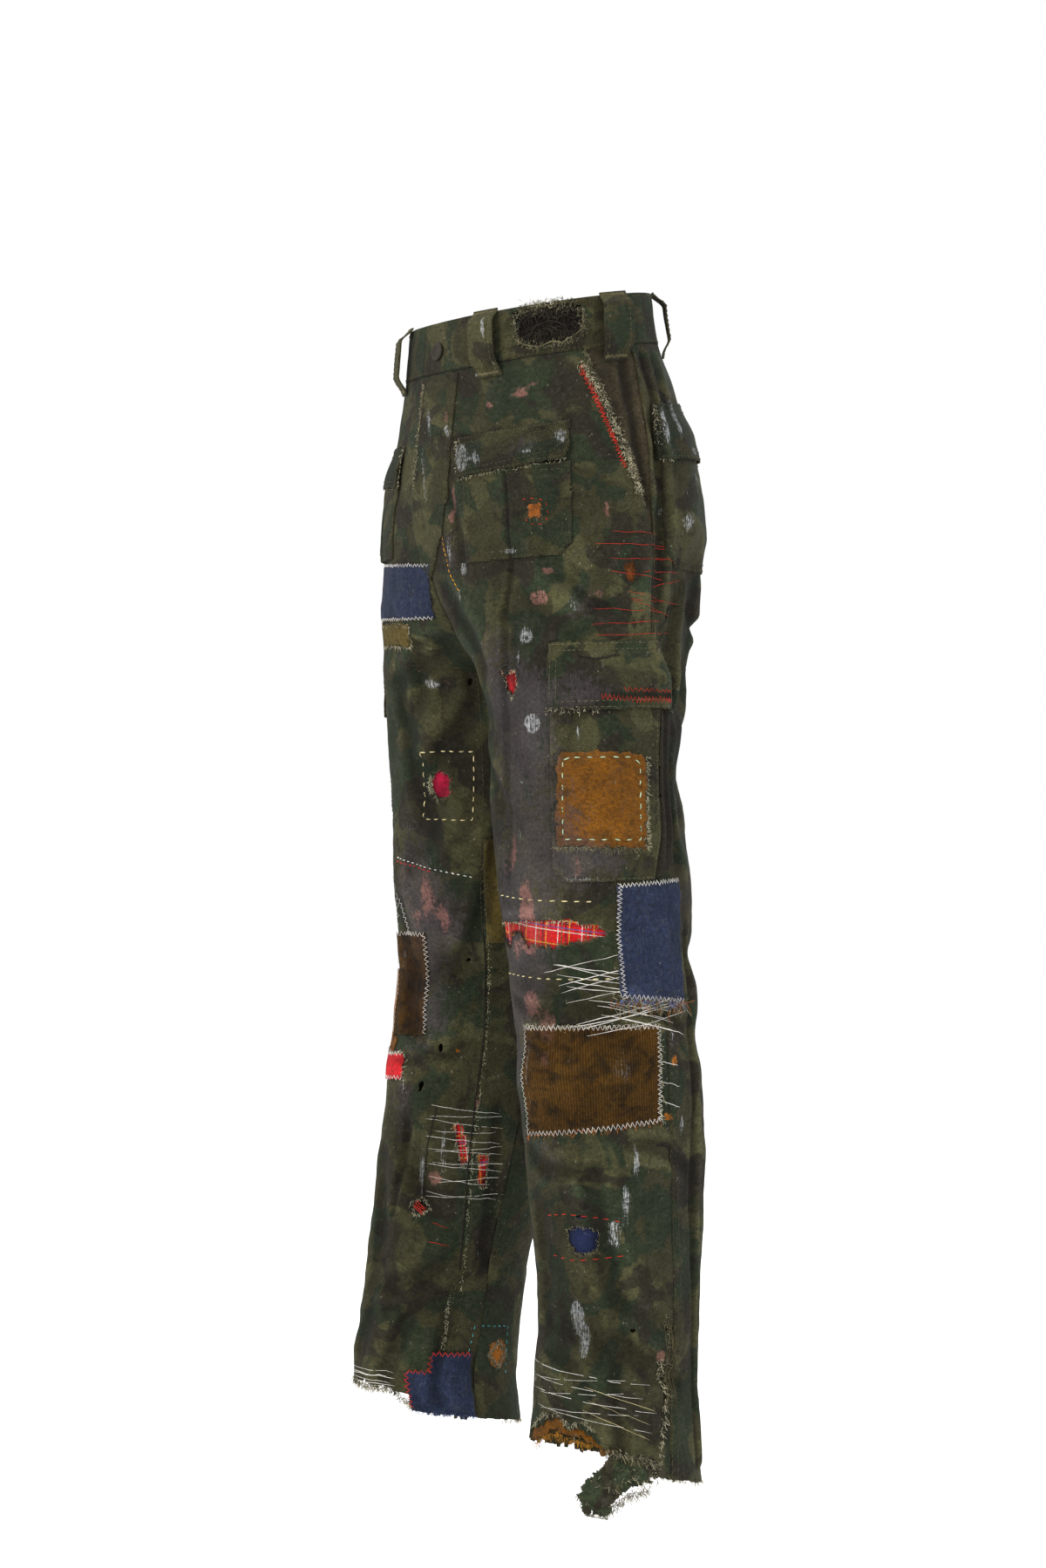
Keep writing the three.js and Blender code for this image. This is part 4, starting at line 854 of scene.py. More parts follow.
def make_camouflage(name):
    """Cotton drill printed with camouflage and dyed over, so the colours sit close together."""
    material, tree, shader = start_material(name, 0.95, 0.02)
    mm, tint = cloth_coordinates(tree), tints()
    colour_now = add(tree, "RGB").outputs[0]
    colour_now.default_value = rgba(tint.ground)
    shapes = (("khaki", 62, (70, 190, 0), .52), ("green", 58, (310, 40, 0), .50),
              ("earth", 50, (530, 260, 0), .55))
    for key, size, shift, level in shapes:
        place = add(tree, "VectorMath", {0: mm, 1: shift}, operation="ADD")
        field = add(tree, "TexNoise", {"Vector": place, "Scale": 1 / size, "Detail": 4, "Roughness": .48,
                                       "Distortion": .7})
        fill = add(tree, "MapRange", {0: field, 1: level, 2: level + .03, 3: 0, 4: .85})
        colour_now = add(tree, "MixRGB", {0: fill, 1: colour_now, 2: rgba(getattr(tint, key))})
    finish_cloth(tree, shader, colour_now, twill(tree, mm, 1.9), rgba("#37321f"))
    return material


def make_plain(name, code, second, dirt, inside="#241e16"):
    """Plain twill of one dye, with a second, faded tone through it."""
    material, tree, shader = start_material(name, 0.93, 0.02)
    mm = cloth_coordinates(tree)
    field = add(tree, "TexNoise", {"Vector": mm, "Scale": 1 / 14, "Detail": 6, "Roughness": .7,
                                   "Distortion": .8})
    fill = add(tree, "MapRange", {0: field, 1: .5, 2: .66, 3: 0, 4: .75})
    colour_now = add(tree, "MixRGB", {0: fill, 1: rgba(code), 2: rgba(second)})
    finish_cloth(tree, shader, colour_now, twill(tree, mm, 1.7), rgba(inside), dirt)
    return material


def make_denim(name):
    """Warp-faced indigo twill: blue warp over white weft, faded in streaks down the cloth."""
    material, tree, shader = start_material(name, 0.92, 0.02)
    mm, tint = cloth_coordinates(tree), tints()
    streaked = add(tree, "Mapping", {"Vector": mm, "Scale": (1 / 1.3, 1 / 9, 1)})
    slub = add(tree, "TexNoise", {"Vector": streaked, "Scale": 1, "Detail": 3, "Roughness": .7})
    ribs = twill(tree, mm, 2.0, -0.8)
    both = add(tree, "Math", {0: slub, 1: .75,
                              2: add(tree, "Math", {0: ribs, 1: .22}, operation="MULTIPLY")},
               operation="MULTIPLY_ADD")
    field = add(tree, "TexNoise", {"Vector": mm, "Scale": 1 / 24, "Detail": 4, "Roughness": .6})
    faded = add(tree, "MapRange", {0: field, 1: .5, 2: .72, 3: 0, 4: .5})
    blue = add(tree, "MixRGB", {0: faded, 1: rgba(tint.denim), 2: rgba("#2c364e")})
    weft = add(tree, "MapRange", {0: both, 1: .52, 2: .74, 3: 0, 4: .28})
    colour_now = add(tree, "MixRGB", {0: weft, 1: blue, 2: rgba("#5d6680")})
    dark = add(tree, "MapRange", {0: both, 1: .42, 2: .28, 3: 0, 4: .8})
    colour_now = add(tree, "MixRGB", {0: dark, 1: colour_now, 2: rgba("#171d30")})
    finish_cloth(tree, shader, colour_now, both, rgba("#4b4f66"), 0.8)
    return material


def make_corduroy(name):
    """Cut-pile corduroy: raised wales down the cloth, worn bald in places."""
    material, tree, shader = start_material(name, 0.9)
    mm, tint = cloth_coordinates(tree), tints()
    wales = add(tree, "TexWave", {"Vector": mm, "Scale": .314 / 2.4, "Distortion": .5, "Detail": 1,
                                  "Detail Scale": .3}, bands_direction="X").outputs["Fac"]
    field = add(tree, "TexNoise", {"Vector": mm, "Scale": 1 / 20, "Detail": 6, "Roughness": .68,
                                   "Distortion": .8})
    bald = add(tree, "MapRange", {0: field, 1: .46, 2: .62, 3: 0, 4: 1})
    pile = add(tree, "MixRGB", {0: bald, 1: rgba(tint.corduroy), 2: rgba("#281b08")})
    # Painted shade in the grooves between the wales and painted highlight on their tops.
    wale_shading = add(tree, "MapRange", {0: wales, 1: .1, 2: .8, 3: .62, 4: 1.1})
    colour_now = add(tree, "MixRGB", {0: 1.0, 1: pile, 2: wale_shading}, blend_type="MULTIPLY")
    finish_cloth(tree, shader, colour_now, add(tree, "Math", {0: wales, 1: 2.2}, operation="MULTIPLY"),
                 rgba("#33270f"), 0.3)
    return material


# Woven check: axis (0 round, 1 down), place in the repeat and width in millimetres, colour, cover.
CHECK_REPEAT = 22.0
CHECK_LINES = [
    (0, 0.0, 2.0, "#1c2a2a", .6), (1, 0.0, 1.8, "#1c2a2a", .5), (0, 3.6, .9, "#d0a83a", .8),
    (1, 3.6, .9, "#d0a83a", .8), (0, 15.0, 1.0, "#d8cfc6", .75), (1, 15.6, 1.0, "#d8cfc6", .75),
    (0, 18.4, 1.3, "#2f5a3a", .7), (1, 18.6, 1.3, "#35548c", .7),
]


def make_tartan(name):
    """Red wool and cotton check."""
    material, tree, shader = start_material(name, 0.92, 0.02)
    mm, tint = cloth_coordinates(tree, (400.0, 2000.0, 0)), tints()
    apart = add(tree, "SeparateXYZ", {0: add(tree, "Mapping", {"Vector": mm, "Rotation": (0, 0, .12)})})
    colour_now = add(tree, "RGB").outputs[0]
    colour_now.default_value = rgba(tint.tartan)
    for axis, place, width, code, cover in CHECK_LINES:
        moved = add(tree, "Math", {0: apart.outputs[axis], 1: CHECK_REPEAT - place}, operation="ADD")
        turn = add(tree, "Math", {0: moved, 1: CHECK_REPEAT}, operation="MODULO")
        band = add(tree, "Math", {0: turn, 1: width}, operation="LESS_THAN")
        band = add(tree, "Math", {0: band, 1: cover}, operation="MULTIPLY")
        colour_now = add(tree, "MixRGB", {0: band, 1: colour_now, 2: rgba(code)})
    finish_cloth(tree, shader, colour_now, twill(tree, mm, 1.6), rgba("#4a1a18"), 0.25)
    return material


def make_thread(name, code, roughness):
    """Cotton thread or a yarn pulled from the cloth."""
    material, tree, shader = start_material(name, roughness, 0.03)
    tone = add(tree, "Attribute", attribute_name="tone").outputs["Fac"]
    place = add(tree, "TexCoord").outputs["Object"]
    field = add(tree, "TexNoise", {"Vector": place, "Scale": 90, "Detail": 2})
    shade = add(tree, "MapRange", {0: field, 1: .3, 2: .7, 3: .65, 4: 1.35})
    shade = add(tree, "Math", {0: shade, 1: tone}, operation="MULTIPLY")
    colour_now = add(tree, "MixRGB", {0: 1.0, 1: rgba(code), 2: shade}, blend_type="MULTIPLY")
    tree.links.new(colour_now.outputs[0], shader.inputs["Base Color"])
    return material


def make_button_plastic(name):
    """Moulded urea plastic, scuffed to a low sheen."""
    material, tree, shader = start_material(name, 0.5)
    place = add(tree, "TexCoord").outputs["Object"]
    field = add(tree, "TexNoise", {"Vector": place, "Scale": 400, "Detail": 3})
    tone = add(tree, "MixRGB", {0: field, 1: rgba("#1f1c19"), 2: rgba("#3a352d")})
    tree.links.new(tone.outputs[0], shader.inputs["Base Color"])
    return material


# Threads and yarns: colour and roughness.
YARNS = {
    "White thread": ("#d2cec8", .75), "Cream thread": ("#c0b387", .75), "Olive thread": ("#423d2a", .75),
    "Faded thread": ("#57523b", .75), "Dark thread": ("#1d1a16", .75), "Mint thread": ("#9db596", .75),
    "Cyan thread": ("#4a9aa2", .75), "Red thread": ("#a8281c", .55), "Yellow thread": ("#c48a1c", .6),
    "Orange yarn": ("#8f5320", .75), "Mustard yarn": ("#9a6a1c", .75), "Olive yarn": ("#66614a", .75),
    "Cream yarn": ("#a09a80", .75), "Dark yarn": ("#2c271d", .75), "Blue yarn": ("#5c6c98", .75),
}
BUILDERS = {
    "Drill": make_camouflage,
    "Denim": make_denim,
    "Corduroy": make_corduroy,
    "Tartan": make_tartan,
    "Mustard twill": lambda n: make_plain(n, tints().mustard, second="#412b0d", inside="#5c3d10", dirt=.8),
    "Orange cotton": lambda n: make_plain(n, "#96541a", second="#5c3212", dirt=.5),
    "Brown twill": lambda n: make_plain(n, "#714019", second="#3a2210", dirt=.4),
    "Crimson cotton": lambda n: make_plain(n, tints().crimson, second="#6b0f26", dirt=.2),
    "Red cotton": lambda n: make_plain(n, "#ae181f", second="#741218", dirt=.15),
    "Navy twill": lambda n: make_plain(n, "#1a2342", second="#101526", dirt=.3),
    "Olive twill": lambda n: make_plain(n, "#56491f", second="#2f2915", dirt=.7, inside="#2f2915"),
    "Black twill": lambda n: make_plain(n, "#110f0d", second="#1c1913", dirt=.1, inside="#15130f"),
    # A plain dark drill without the print, as painted shade on the pieces set back in recesses: the pocket
    # bearers and the cargo gusset.
    "Drill inside": lambda n: make_plain(n, "#342d1f", second="#211d16", dirt=.9),
    "Button plastic": make_button_plastic,
}


def material(name):
    """The material of that name, made when it is first asked for."""
    if name in bpy.data.materials:
        return bpy.data.materials[name]
    return make_thread(name, *YARNS[name]) if name in YARNS else BUILDERS[name](name)


def sew(piece, node):
    """Hides the CAD node that a cut piece of cloth stands for."""
    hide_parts(node)
    return piece


# ------------------------------------------------------------------ heights of the layers
def on_cargo(s, v):
    return ON + 10 * smooth((s + 82) / 60) * smooth((50 - s) / 34) * smooth((v + 484) / 50)


def bellows(s, v):
    """The gusset's fold, behind the cargo pocket's back edge."""
    fold = -4.5 * np.exp(-((s - 24) / 5.0) ** 2) + 1.6 * np.exp(-((s - 34) / 4.0) ** 2)
    return np.maximum(on_cargo(s, v) + fold * smooth((v + 476) / 40), ON)


def on_cargo_flap(s, v):
    rise = on_cargo(s, v) - ON + PATCH_WALL + LAY + 0.4
    curl = 1.8 * smooth((-306 - v) / 20) * (0.6 + 0.5 * value_noise(s / 16, v * 0, 9))
    return ON + rise * smooth((-268 - v) / 34) + curl


def on_front_pocket(s, v):
    pleat = (1.6 * smooth((s + 119) / 1.6) * smooth((-106 - s) / 12) - 1.4
             * np.exp(-((s + 120.5) / 1.5) ** 2))
    pleat = pleat * smooth((-100 - v) / 8)
    sag = 2.2 * smooth((s + 170) / 30) * smooth((-62 - s) / 30) * smooth((v + 192) / 24)
    return ON + pleat + sag


def pleat_shadow(s, v):
    """How light the front pocket is: dark in the fold of its pleat."""
    return 1 - 0.75 * np.exp(-((s + 120.5) / 1.7) ** 2) * smooth((-100 - v) / 6)


def on_front_flap(s, v):
    button = 1.3 * np.exp(-(((s + 86) / 9) ** 2 + ((v + 88) / 6) ** 2) ** 2)
    lift = (OVER - ON + 3.4) * smooth((-70 - v) / 30)
    return ON + lift + button + 1.2 * smooth((-90 - v) / 12) * value_noise(s / 14, v * 0, 17)


def on_back_pocket(s, v):
    return ON + 5 * smooth((s - 32) / 40) * smooth((172 - s) / 40) * smooth((v + 200) / 40)


def on_back_flap(s, v):
    k = smooth((-54 - v) / 30)
    return (on_back_pocket(s, np.maximum(v, -150)) * k + ON * (1 - k)
            + 1.9 * smooth((-62 - v) / 24) + 1.5 * smooth((-88 - v) / 14))


def on_loop(foot):
    """Height of a belt loop, which stands off the waistband between its two sewn ends."""
    band = PATCH_WALL + LAY + 0.1

    def inside(s, v):
        return (foot + (band - foot) * smooth((v + 13) / 12)
                + 10.5 * np.minimum(smooth((v + 13) / 17), smooth((49 - v) / 14)))
    return inside


def loop_foot(middle):
    """Height of a belt loop's lower end: the side ones are sewn on the pocket bearers."""
    return UNDER + PATCH_WALL + .55 if abs(middle) < 10 else ON


def above(layer, thick):
    """Top face of a piece that lies at a layer."""
    return lambda s, v: height_of(layer, s, v) + thick


TOP_PANEL = WALL / 2
TOP_PATCH = ON + PATCH_WALL
POCKETS = {
    "front": [(-170, -106), (-60, -103), (-63, -178), (-73, -191), (-171, -195)],
    "front_right": [(-170, -106), (-60, -103), (-63, -168), (-73, -181), (-171, -182)],
    "front_flap": [(-172, -68), (-114, -67), (-56, -64), (-60, -94), (-65, -101), (-118, -107),
                   (-174, -111)],
    "back": [(32, -100), (172, -100), (172, -184), (158, -200), (46, -200), (32, -186)],
    "back_flap": [(27, -54), (177, -54), (177, -104), (27, -104)],
    "cargo": [(-80, -316), (14.8, -316), (12, -479), (-71, -481), (-83, -470)],
    "gusset": [(15.5, -322), (50, -326), (44, -462), (12.7, -478)],
    "cargo_flap": [(-82, -269), (32, -265), (34, -327), (-82, -329)],
}
BEARER = [(-48, -1), (-36, -52), (-24, -100), (-10, -142), (0, -172), (13, -184), (26, -180), (26, -1)]
LOOPS = [("front", -124), ("side", -4), ("back", 92)]
NAMES = {1: "left", -1: "right"}
FLY = [(-22, -3), (38, -3), (38, -130), (30, -165), (14, -192), (-2, -205), (-8, -200), (-22, -150)]
BAND_HOLE = [(-94, 41), (-74, 44), (-50, 43), (-33, 38), (-32, 16), (-50, 10), (-76, 9), (-93, 17)]

# Patches sewn on: node, side, outline, material, slot, torn edge, flat cut, area.
PATCHES = [
    ("patch_denim_left_knee", 1, [(-27, -484), (46, -480), (38, -590), (-31, -583)], "Denim", "denim", .8,
     (.080, .108), .0078),
    ("patch_corduroy_left_knee", 1, [(-124, -610), (4, -608), (3, -692), (-128, -706)], "Corduroy",
     "corduroy", .8, (.134, .102), .0126),
    ("patch_denim_right_thigh", -1, [(-128, -185), (-238, -192), (-226, -240), (-130, -238)], "Denim",
     "denim", 1.0, (.114, .056), .0053),
    ("patch_olive_right_thigh", -1, [(-132, -242), (-192, -244), (-184, -264), (-130, -262)], "Olive twill",
     "olive_twill", 1.5, (.064, .024), .0012),
    ("patch_corduroy_right_knee", -1, [(-113, -538), (-160, -536), (-166, -634), (-117, -636)], "Corduroy",
     "corduroy", .8, (.060, .102), .0053),
    ("patch_mustard_right_knee", -1, [(-86, -574), (-111, -574), (-115, -638), (-132, -639), (-130, -650),
                                      (-92, -649)],
     "Mustard twill", "mustard_twill", 1.2, (.048, .078), .0018),
    ("patch_red_right_knee", -1, [(-98, -656), (-146, -653), (-150, -677), (-102, -680)], "Red cotton",
     "red_cotton", 1.2, (.052, .027), .0012),
    ("patch_denim_right_hem", -1, [(-174, -963), (-198, -961), (-198, -942), (-238, -940), (-240, -1002),
                                   (-178, -1004)],
     "Denim", "denim", .5, (.068, .066), .0034),
    ("gusset_right_inner_thigh", -1, [(-226, -446), (-246, -446), (-238, -545), (-220, -545)],
     "Olive twill", "olive_twill", .3, (.028, .104), .0019),
]
# Cloth behind a hole: node, side, outline, material, slot, flat cut, area.
INSETS = [
    ("inset_red_left_thigh", 1, [(-142, -284), (-106, -284), (-106, -326), (-142, -326)], "Red cotton",
     "red_cotton", (.036, .042), .0015),
    ("inset_tartan_left_knee", 1, [(-176, -508), (-36, -506), (-36, -548), (-176, -550)], "Tartan",
     "tartan", (.140, .043), .0060),
    ("inset_navy_left_shin", 1, [(-96, -776), (-46, -776), (-46, -816), (-96, -816)], "Navy twill", "denim",
     (.050, .040), .0020),
    ("inset_mustard_left_hem", 1, [(-134, -947), (-43, -947), (-43, -988), (-52, -990), (-61, -980),
                                   (-72, -976), (-82, -979), (-97, -973), (-108, -980), (-122, -988),
                                   (-134, -990)],
     "Mustard twill", "mustard_twill", (.093, .048), .0038),
    ("inset_brown_left_hip", 1, [(-26, -187), (6, -187), (6, -222), (-26, -222)], "Brown twill",
     "mustard_twill", (.032, .035), .0011),
    ("inset_crimson_right_thigh", -1, [(-206, -372), (-167, -372), (-167, -420), (-206, -420)],
     "Crimson cotton", "red_cotton", (.039, .049), .0019),
    ("inset_tartan_right_shin", -1, [(-198, -708), (-250, -708), (-250, -792), (-198, -792)], "Tartan",
     "tartan", (.053, .085), .0044),
]


# ------------------------------------------------------------------ operators
class MakeGarment(bpy.types.Operator):
    """Base of the operators: runs make() and reports that it is done"""
    bl_options = {"REGISTER", "UNDO"}

    def execute(self, context):
        self.make()
        return {"FINISHED"}


class MakePanels(MakeGarment):
    """Makes the fronts and the backs, with their holes, worn hems and felled seams"""
    bl_idname = "cargo_pants.panels"
    bl_label = "Fronts and Backs"

    def make(self):
        step = sizes().grid
        levels = np.arange(-0.15, -1010, -step)
        for side in (1, -1):
            front, back = reach(side, levels)
            for part, columns in (("front", 80), ("back", 76)):
                share = np.linspace(0, 1, columns)
                low, high = (-front, np.full(len(levels), OUTSEAM - .15)) if part == "front" else (
                    np.full(len(levels), OUTSEAM + .15), back)
                s = low[:, None] + (high - low)[:, None] * share
                v = np.repeat(levels[:, None], columns, 1)
                holes = [ragged(h, 1.3, 20 + i) for i, h in enumerate(HOLES.get((part, side), []))]
                pins = [p[1:] for p in PINHOLES if p[0] == side and (p[1] < OUTSEAM) == (part == "front")]

                def keep(s, v, holes=holes, pins=pins, side=side, part=part):
                    field = hem_field(side, s, v)
                    for hole in holes:
                        field = np.minimum(field, -hole(s, v))
                    for ps, pv, rs, rv in pins:
                        around = np.hypot((s - ps) / rs, (v - pv) / rv) - 1
                        around = around + .35 * value_noise(s / 3, v / 3, 8)
                        field = np.minimum(field, around * min(rs, rv))
                    if part == "front":
                        mouth = [*MOUTH, (40, -178), (40, 12), (-34, 12)]
                        field = np.minimum(field, -inside_of(mouth, s, v))
                    return field
                piece = shell(f"{part}_{NAMES[side]}_cloth", side, s, v, -WALL / 2, WALL, material("Drill"),
                              keep, shift=(0.1 + 0.6 * (part == "back"), 1.2 * (side < 0)), spacing=step)
                sew(piece, f"{part}_{NAMES[side]}")


class MakeWaist(MakeGarment):
    """Makes the waistband halves, the black cloth behind its hole, and the pocket bearers"""
    bl_idname = "cargo_pants.waist"
    bl_label = "Waistband"

    def make(self):
        levels = np.linspace(46.9, 0.3, 24)
        for side in (1, -1):
            front, back = reach(side, levels)
            # The left half laps over the right one at the front, past the middle.
            start = -(front + 21.9) if side > 0 else -(front - 22.4)
            s = start[:, None] + (back - .1 - start)[:, None] * np.linspace(0, 1, 190)
            v = np.repeat(levels[:, None], 190, 1)
            # The left half has a worn hole; both halves are paler along the folded top and the lower edge.
            hole = ragged(BAND_HOLE, 3.4, 60)
            keep = (lambda s, v: -hole(s, v)) if side > 0 else None
            piece = shell(f"waistband_{NAMES[side]}_cloth", side, s, v, -PATCH_WALL, 2 * PATCH_WALL,
                          material("Drill"), keep, shift=(2.0, 1.2 * (side < 0)), spacing=2.2,
                          worn=lambda s, v: .7 * np.exp(-(46.9 - v) / 1.6) + .25 * np.exp(-v / 1.5))
            sew(piece, f"waistband_{NAMES[side]}")
            # The bearers take the plain dark drill as painted shade at the back of the pocket mouth.
            bearer = patch(f"pocket_bearer_{NAMES[side]}_cloth", side, BEARER, UNDER, PATCH_WALL,
                           material("Drill inside"), shift=(3.0, .2))
            sew(bearer, f"pocket_bearer_{NAMES[side]}")
        black = patch("inset_black_waistband_cloth", 1, [(-103, 46), (-24, 46), (-24, 3), (-103, 3)], -2.9,
                      PATCH_WALL, material("Black twill"), shift=(3.2, .2))
        sew(black, "inset_black_waistband")


class MakeLoops(MakeGarment):
    """Makes the seven belt loops, folded strips that stand off the waistband"""
    bl_idname = "cargo_pants.loops"
    bl_label = "Belt Loops"

    def make(self):
        levels = np.linspace(49, -13, 36)
        for side in (1, -1):
            for where, middle in LOOPS:
                sway = 1.2 * value_noise(levels[:, None] / 20, 0 * levels[:, None], 3)
                s = middle + np.linspace(-13, 13, 14)[None] + sway
                v = np.repeat(levels[:, None], 14, 1)
                piece = shell(f"belt_loop_{where}_{NAMES[side]}_cloth", side, s, v,
                              on_loop(loop_foot(middle)), WALL, material("Drill"),
                              shift=(4.0 + middle * .01, .3 * side),
                              worn=lambda s, v, m=middle: .4 * smooth((np.abs(s - m) - 10.5) / 3))
                sew(piece, f"belt_loop_{where}_{NAMES[side]}")
        _, back = reach(1, levels)
        s = back[:, None] + np.linspace(-13, 13, 14)[None]
        piece = shell("belt_loop_center_back_cloth", 1, s, np.repeat(levels[:, None], 14, 1), on_loop(ON),
                      WALL, material("Drill"), shift=(5.0, 0))
        sew(piece, "belt_loop_center_back")


class MakeFly(MakeGarment):
    """Makes the fly lap and the waist button in its buttonhole"""
    bl_idname = "cargo_pants.fly"
    bl_label = "Fly and Button"

    def make(self):
        levels = np.arange(-3, -206, -2.6)
        front, _ = reach(1, levels)
        s = -front[:, None] + np.linspace(-24, 40, 28)[None]

        def keep(s, v):
            return inside_of(FLY, s + reach(1, v)[0], v)
        piece = shell("fly_lap_cloth", 1, s, np.repeat(levels[:, None], 28, 1), ON, PATCH_WALL,
                      material("Drill"), keep, shift=(5.4, .4), spacing=2.4)
        sew(piece, "fly_lap")
        # Button: a dished disc with a raised rim.
        middle = -reach(1, 20.0)[0] + 6
        centre = cloth(1, middle, 20.0, PATCH_WALL + LAY + 1.0)
        outward = cloth(1, middle, 20.0, 6.0) - cloth(1, middle, 20.0, 1.0)
        outward = Vector(outward).normalized()
        profile = [(0.01, 1.5), (4.6, 1.5), (5.6, 2.5), (7.4, 2.6), (8.4, 1.6), (8.3, .5), (6.0, 0),
                   (.01, 0)]
        turns = 40
        angle = np.arange(turns) * 2 * math.pi / turns
        rings = [np.stack([radius * np.cos(angle), radius * np.sin(angle), np.full(turns, rise)], -1)
                 for radius, rise in profile]
        points = np.array(rings).reshape(-1, 3) * MM
        basis = np.array(outward.to_track_quat("Z", "Y").to_matrix())
        points = points @ basis.T + np.array(centre)
        index = np.arange(len(profile) * turns).reshape(len(profile), turns)
        faces = np.stack([index[:-1], index[1:], np.roll(index[1:], -1, 1), np.roll(index[:-1], -1, 1)], -1)
        button = make_object("waist_button_disc", points, faces.reshape(-1, 4)[:, ::-1], True,
                             material=material("Button plastic"))
        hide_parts("waist_button")


class MakePockets(MakeGarment):
    """Makes the front, back and cargo pockets with their flaps, on both sides"""
    bl_idname = "cargo_pants.pockets"
    bl_label = "Pockets and Flaps"

    def make(self):
        # node stem, outline, layer, material, slot, flat cut, area, torn edge
        table = [
            ("front_pocket", "front", on_front_pocket, "Drill", "camouflage_drill", (.116, .098), .0096, .3),
            ("front_flap", "front_flap", on_front_flap, "Drill", "camouflage_drill", (.124, .052), .0048,
             .7),
            ("back_pocket", "back", on_back_pocket, "Drill", "camouflage_drill", (.150, .108), .0142, .2),
            ("back_flap", "back_flap", on_back_flap, "Drill", "camouflage_drill", (.156, .056), .0078, .5),
            ("cargo_pocket", "cargo", on_cargo, "Drill", "camouflage_drill", (.102, .172), .0158, .2),
            # The gusset takes the plain dark drill as painted shade in the bellows.
            ("cargo_gusset", "gusset", bellows, "Drill inside", "camouflage_drill", (.048, .160), .0052, .0),
            ("cargo_flap", "cargo_flap", on_cargo_flap, "Drill", "camouflage_drill", (.120, .066), .0072,
             .8),
        ]
        for side in (1, -1):
            for place, (stem, key, layer, cloth_name, slot, flat, area, torn) in enumerate(table):
                outline = POCKETS["front_right" if stem == "front_pocket" and side < 0 else key]

                def worn(s, v, outline=outline, flap="flap" in stem):
                    return (.9 if flap else .6) * np.exp(-np.clip(inside_of(outline, s, v), 0, None) / 1.8)
                piece = patch(f"{stem}_{NAMES[side]}_cloth", side, outline, layer, PATCH_WALL,
                              material(cloth_name), 2.2, torn, 30 + place,
                              shift=(6.0 + place * .37, .7 * side), worn=worn,
                              # The gusset's half tone and pleat_shadow are painted shade: the recessed
                              # bellows and the fold of the pleat.
                              tone={"cargo_gusset": .5, "front_flap": .72, "back_flap": .85,
                                    "front_pocket": pleat_shadow}.get(stem, 1.0))
                sew(piece, f"{stem}_{NAMES[side]}")
        mustard = [(-74, -370), (-68, -366), (-4, -367), (0, -372), (-3, -451), (-78, -449)]
        piece = patch("patch_mustard_cargo_left_cloth", 1, mustard, above(on_cargo, PATCH_WALL + LAY),
                      PATCH_WALL, material("Mustard twill"), 2.2, 1.4, 41, shift=(.3, .8))
        sew(piece, "patch_mustard_cargo_left")
        orange = patch("inset_orange_front_pocket_cloth", 1,
                       [(-99, -144), (-89, -144), (-89, -157), (-99, -157)],
                       above(on_front_pocket, PATCH_WALL + .4), 1.0, material("Orange cotton"), 1.4, 1.3,
                       42, shift=(.6, .8))
        sew(orange, "inset_orange_front_pocket")


class MakePatches(MakeGarment):
    """Makes the patches sewn on the cloth and the pieces that show through its holes"""
    bl_idname = "cargo_pants.patches"
    bl_label = "Patches"

    def make(self):
        for place, (node, side, outline, cloth_name, slot, torn, flat, area) in enumerate(PATCHES):
            piece = patch(f"{node}_cloth", side, outline, ON, PATCH_WALL, material(cloth_name), 2.0, torn,
                          50 + place, shift=(.9 + .21 * place, .5))
            sew(piece, node)
        for place, (node, side, outline, cloth_name, slot, flat, area) in enumerate(INSETS):
            torn = 2.2 if "hem" in node else 0
            piece = patch(f"{node}_cloth", side, outline, UNDER, PATCH_WALL, material(cloth_name), 2.2,
                          torn, 9, shift=(.4 + .31 * place, .3))
            sew(piece, node)


class MakeRag(MakeGarment):
    """Makes the torn, crumpled rag that hangs from the left hem"""
    bl_idname = "cargo_pants.rag"
    bl_label = "Hem Rag"

    def make(self):
        s, v = np.meshgrid(np.linspace(-76, 10, 68), np.linspace(-983, -1053, 54))
        outline = [(-41, -984), (4, -987), (6, -1001), (-8, -1009), (-26, -1016), (-40, -1028), (-51, -1048),
                   (-60, -1042), (-66, -1045), (-71, -1028), (-62, -1010), (-48, -996)]

        def crumple(s, v):
            deep = smooth((-992 - v) / 10)
            ridge = 1 - 2 * np.abs(value_noise(s / 9 + v / 30, v / 11, 81))
            return UNDER + deep * (3.6 * ridge + 2.4 * value_noise(s / 4, v / 5, 82) + 1.5)
        piece = shell("hem_rag_left_cloth", 1, s, v, crumple, PATCH_WALL, material("Drill"),
                      ragged(outline, 3.0, 83), shift=(1.5, .1), spacing=1.2, tone=1.7)
        sew(piece, "hem_rag_left")


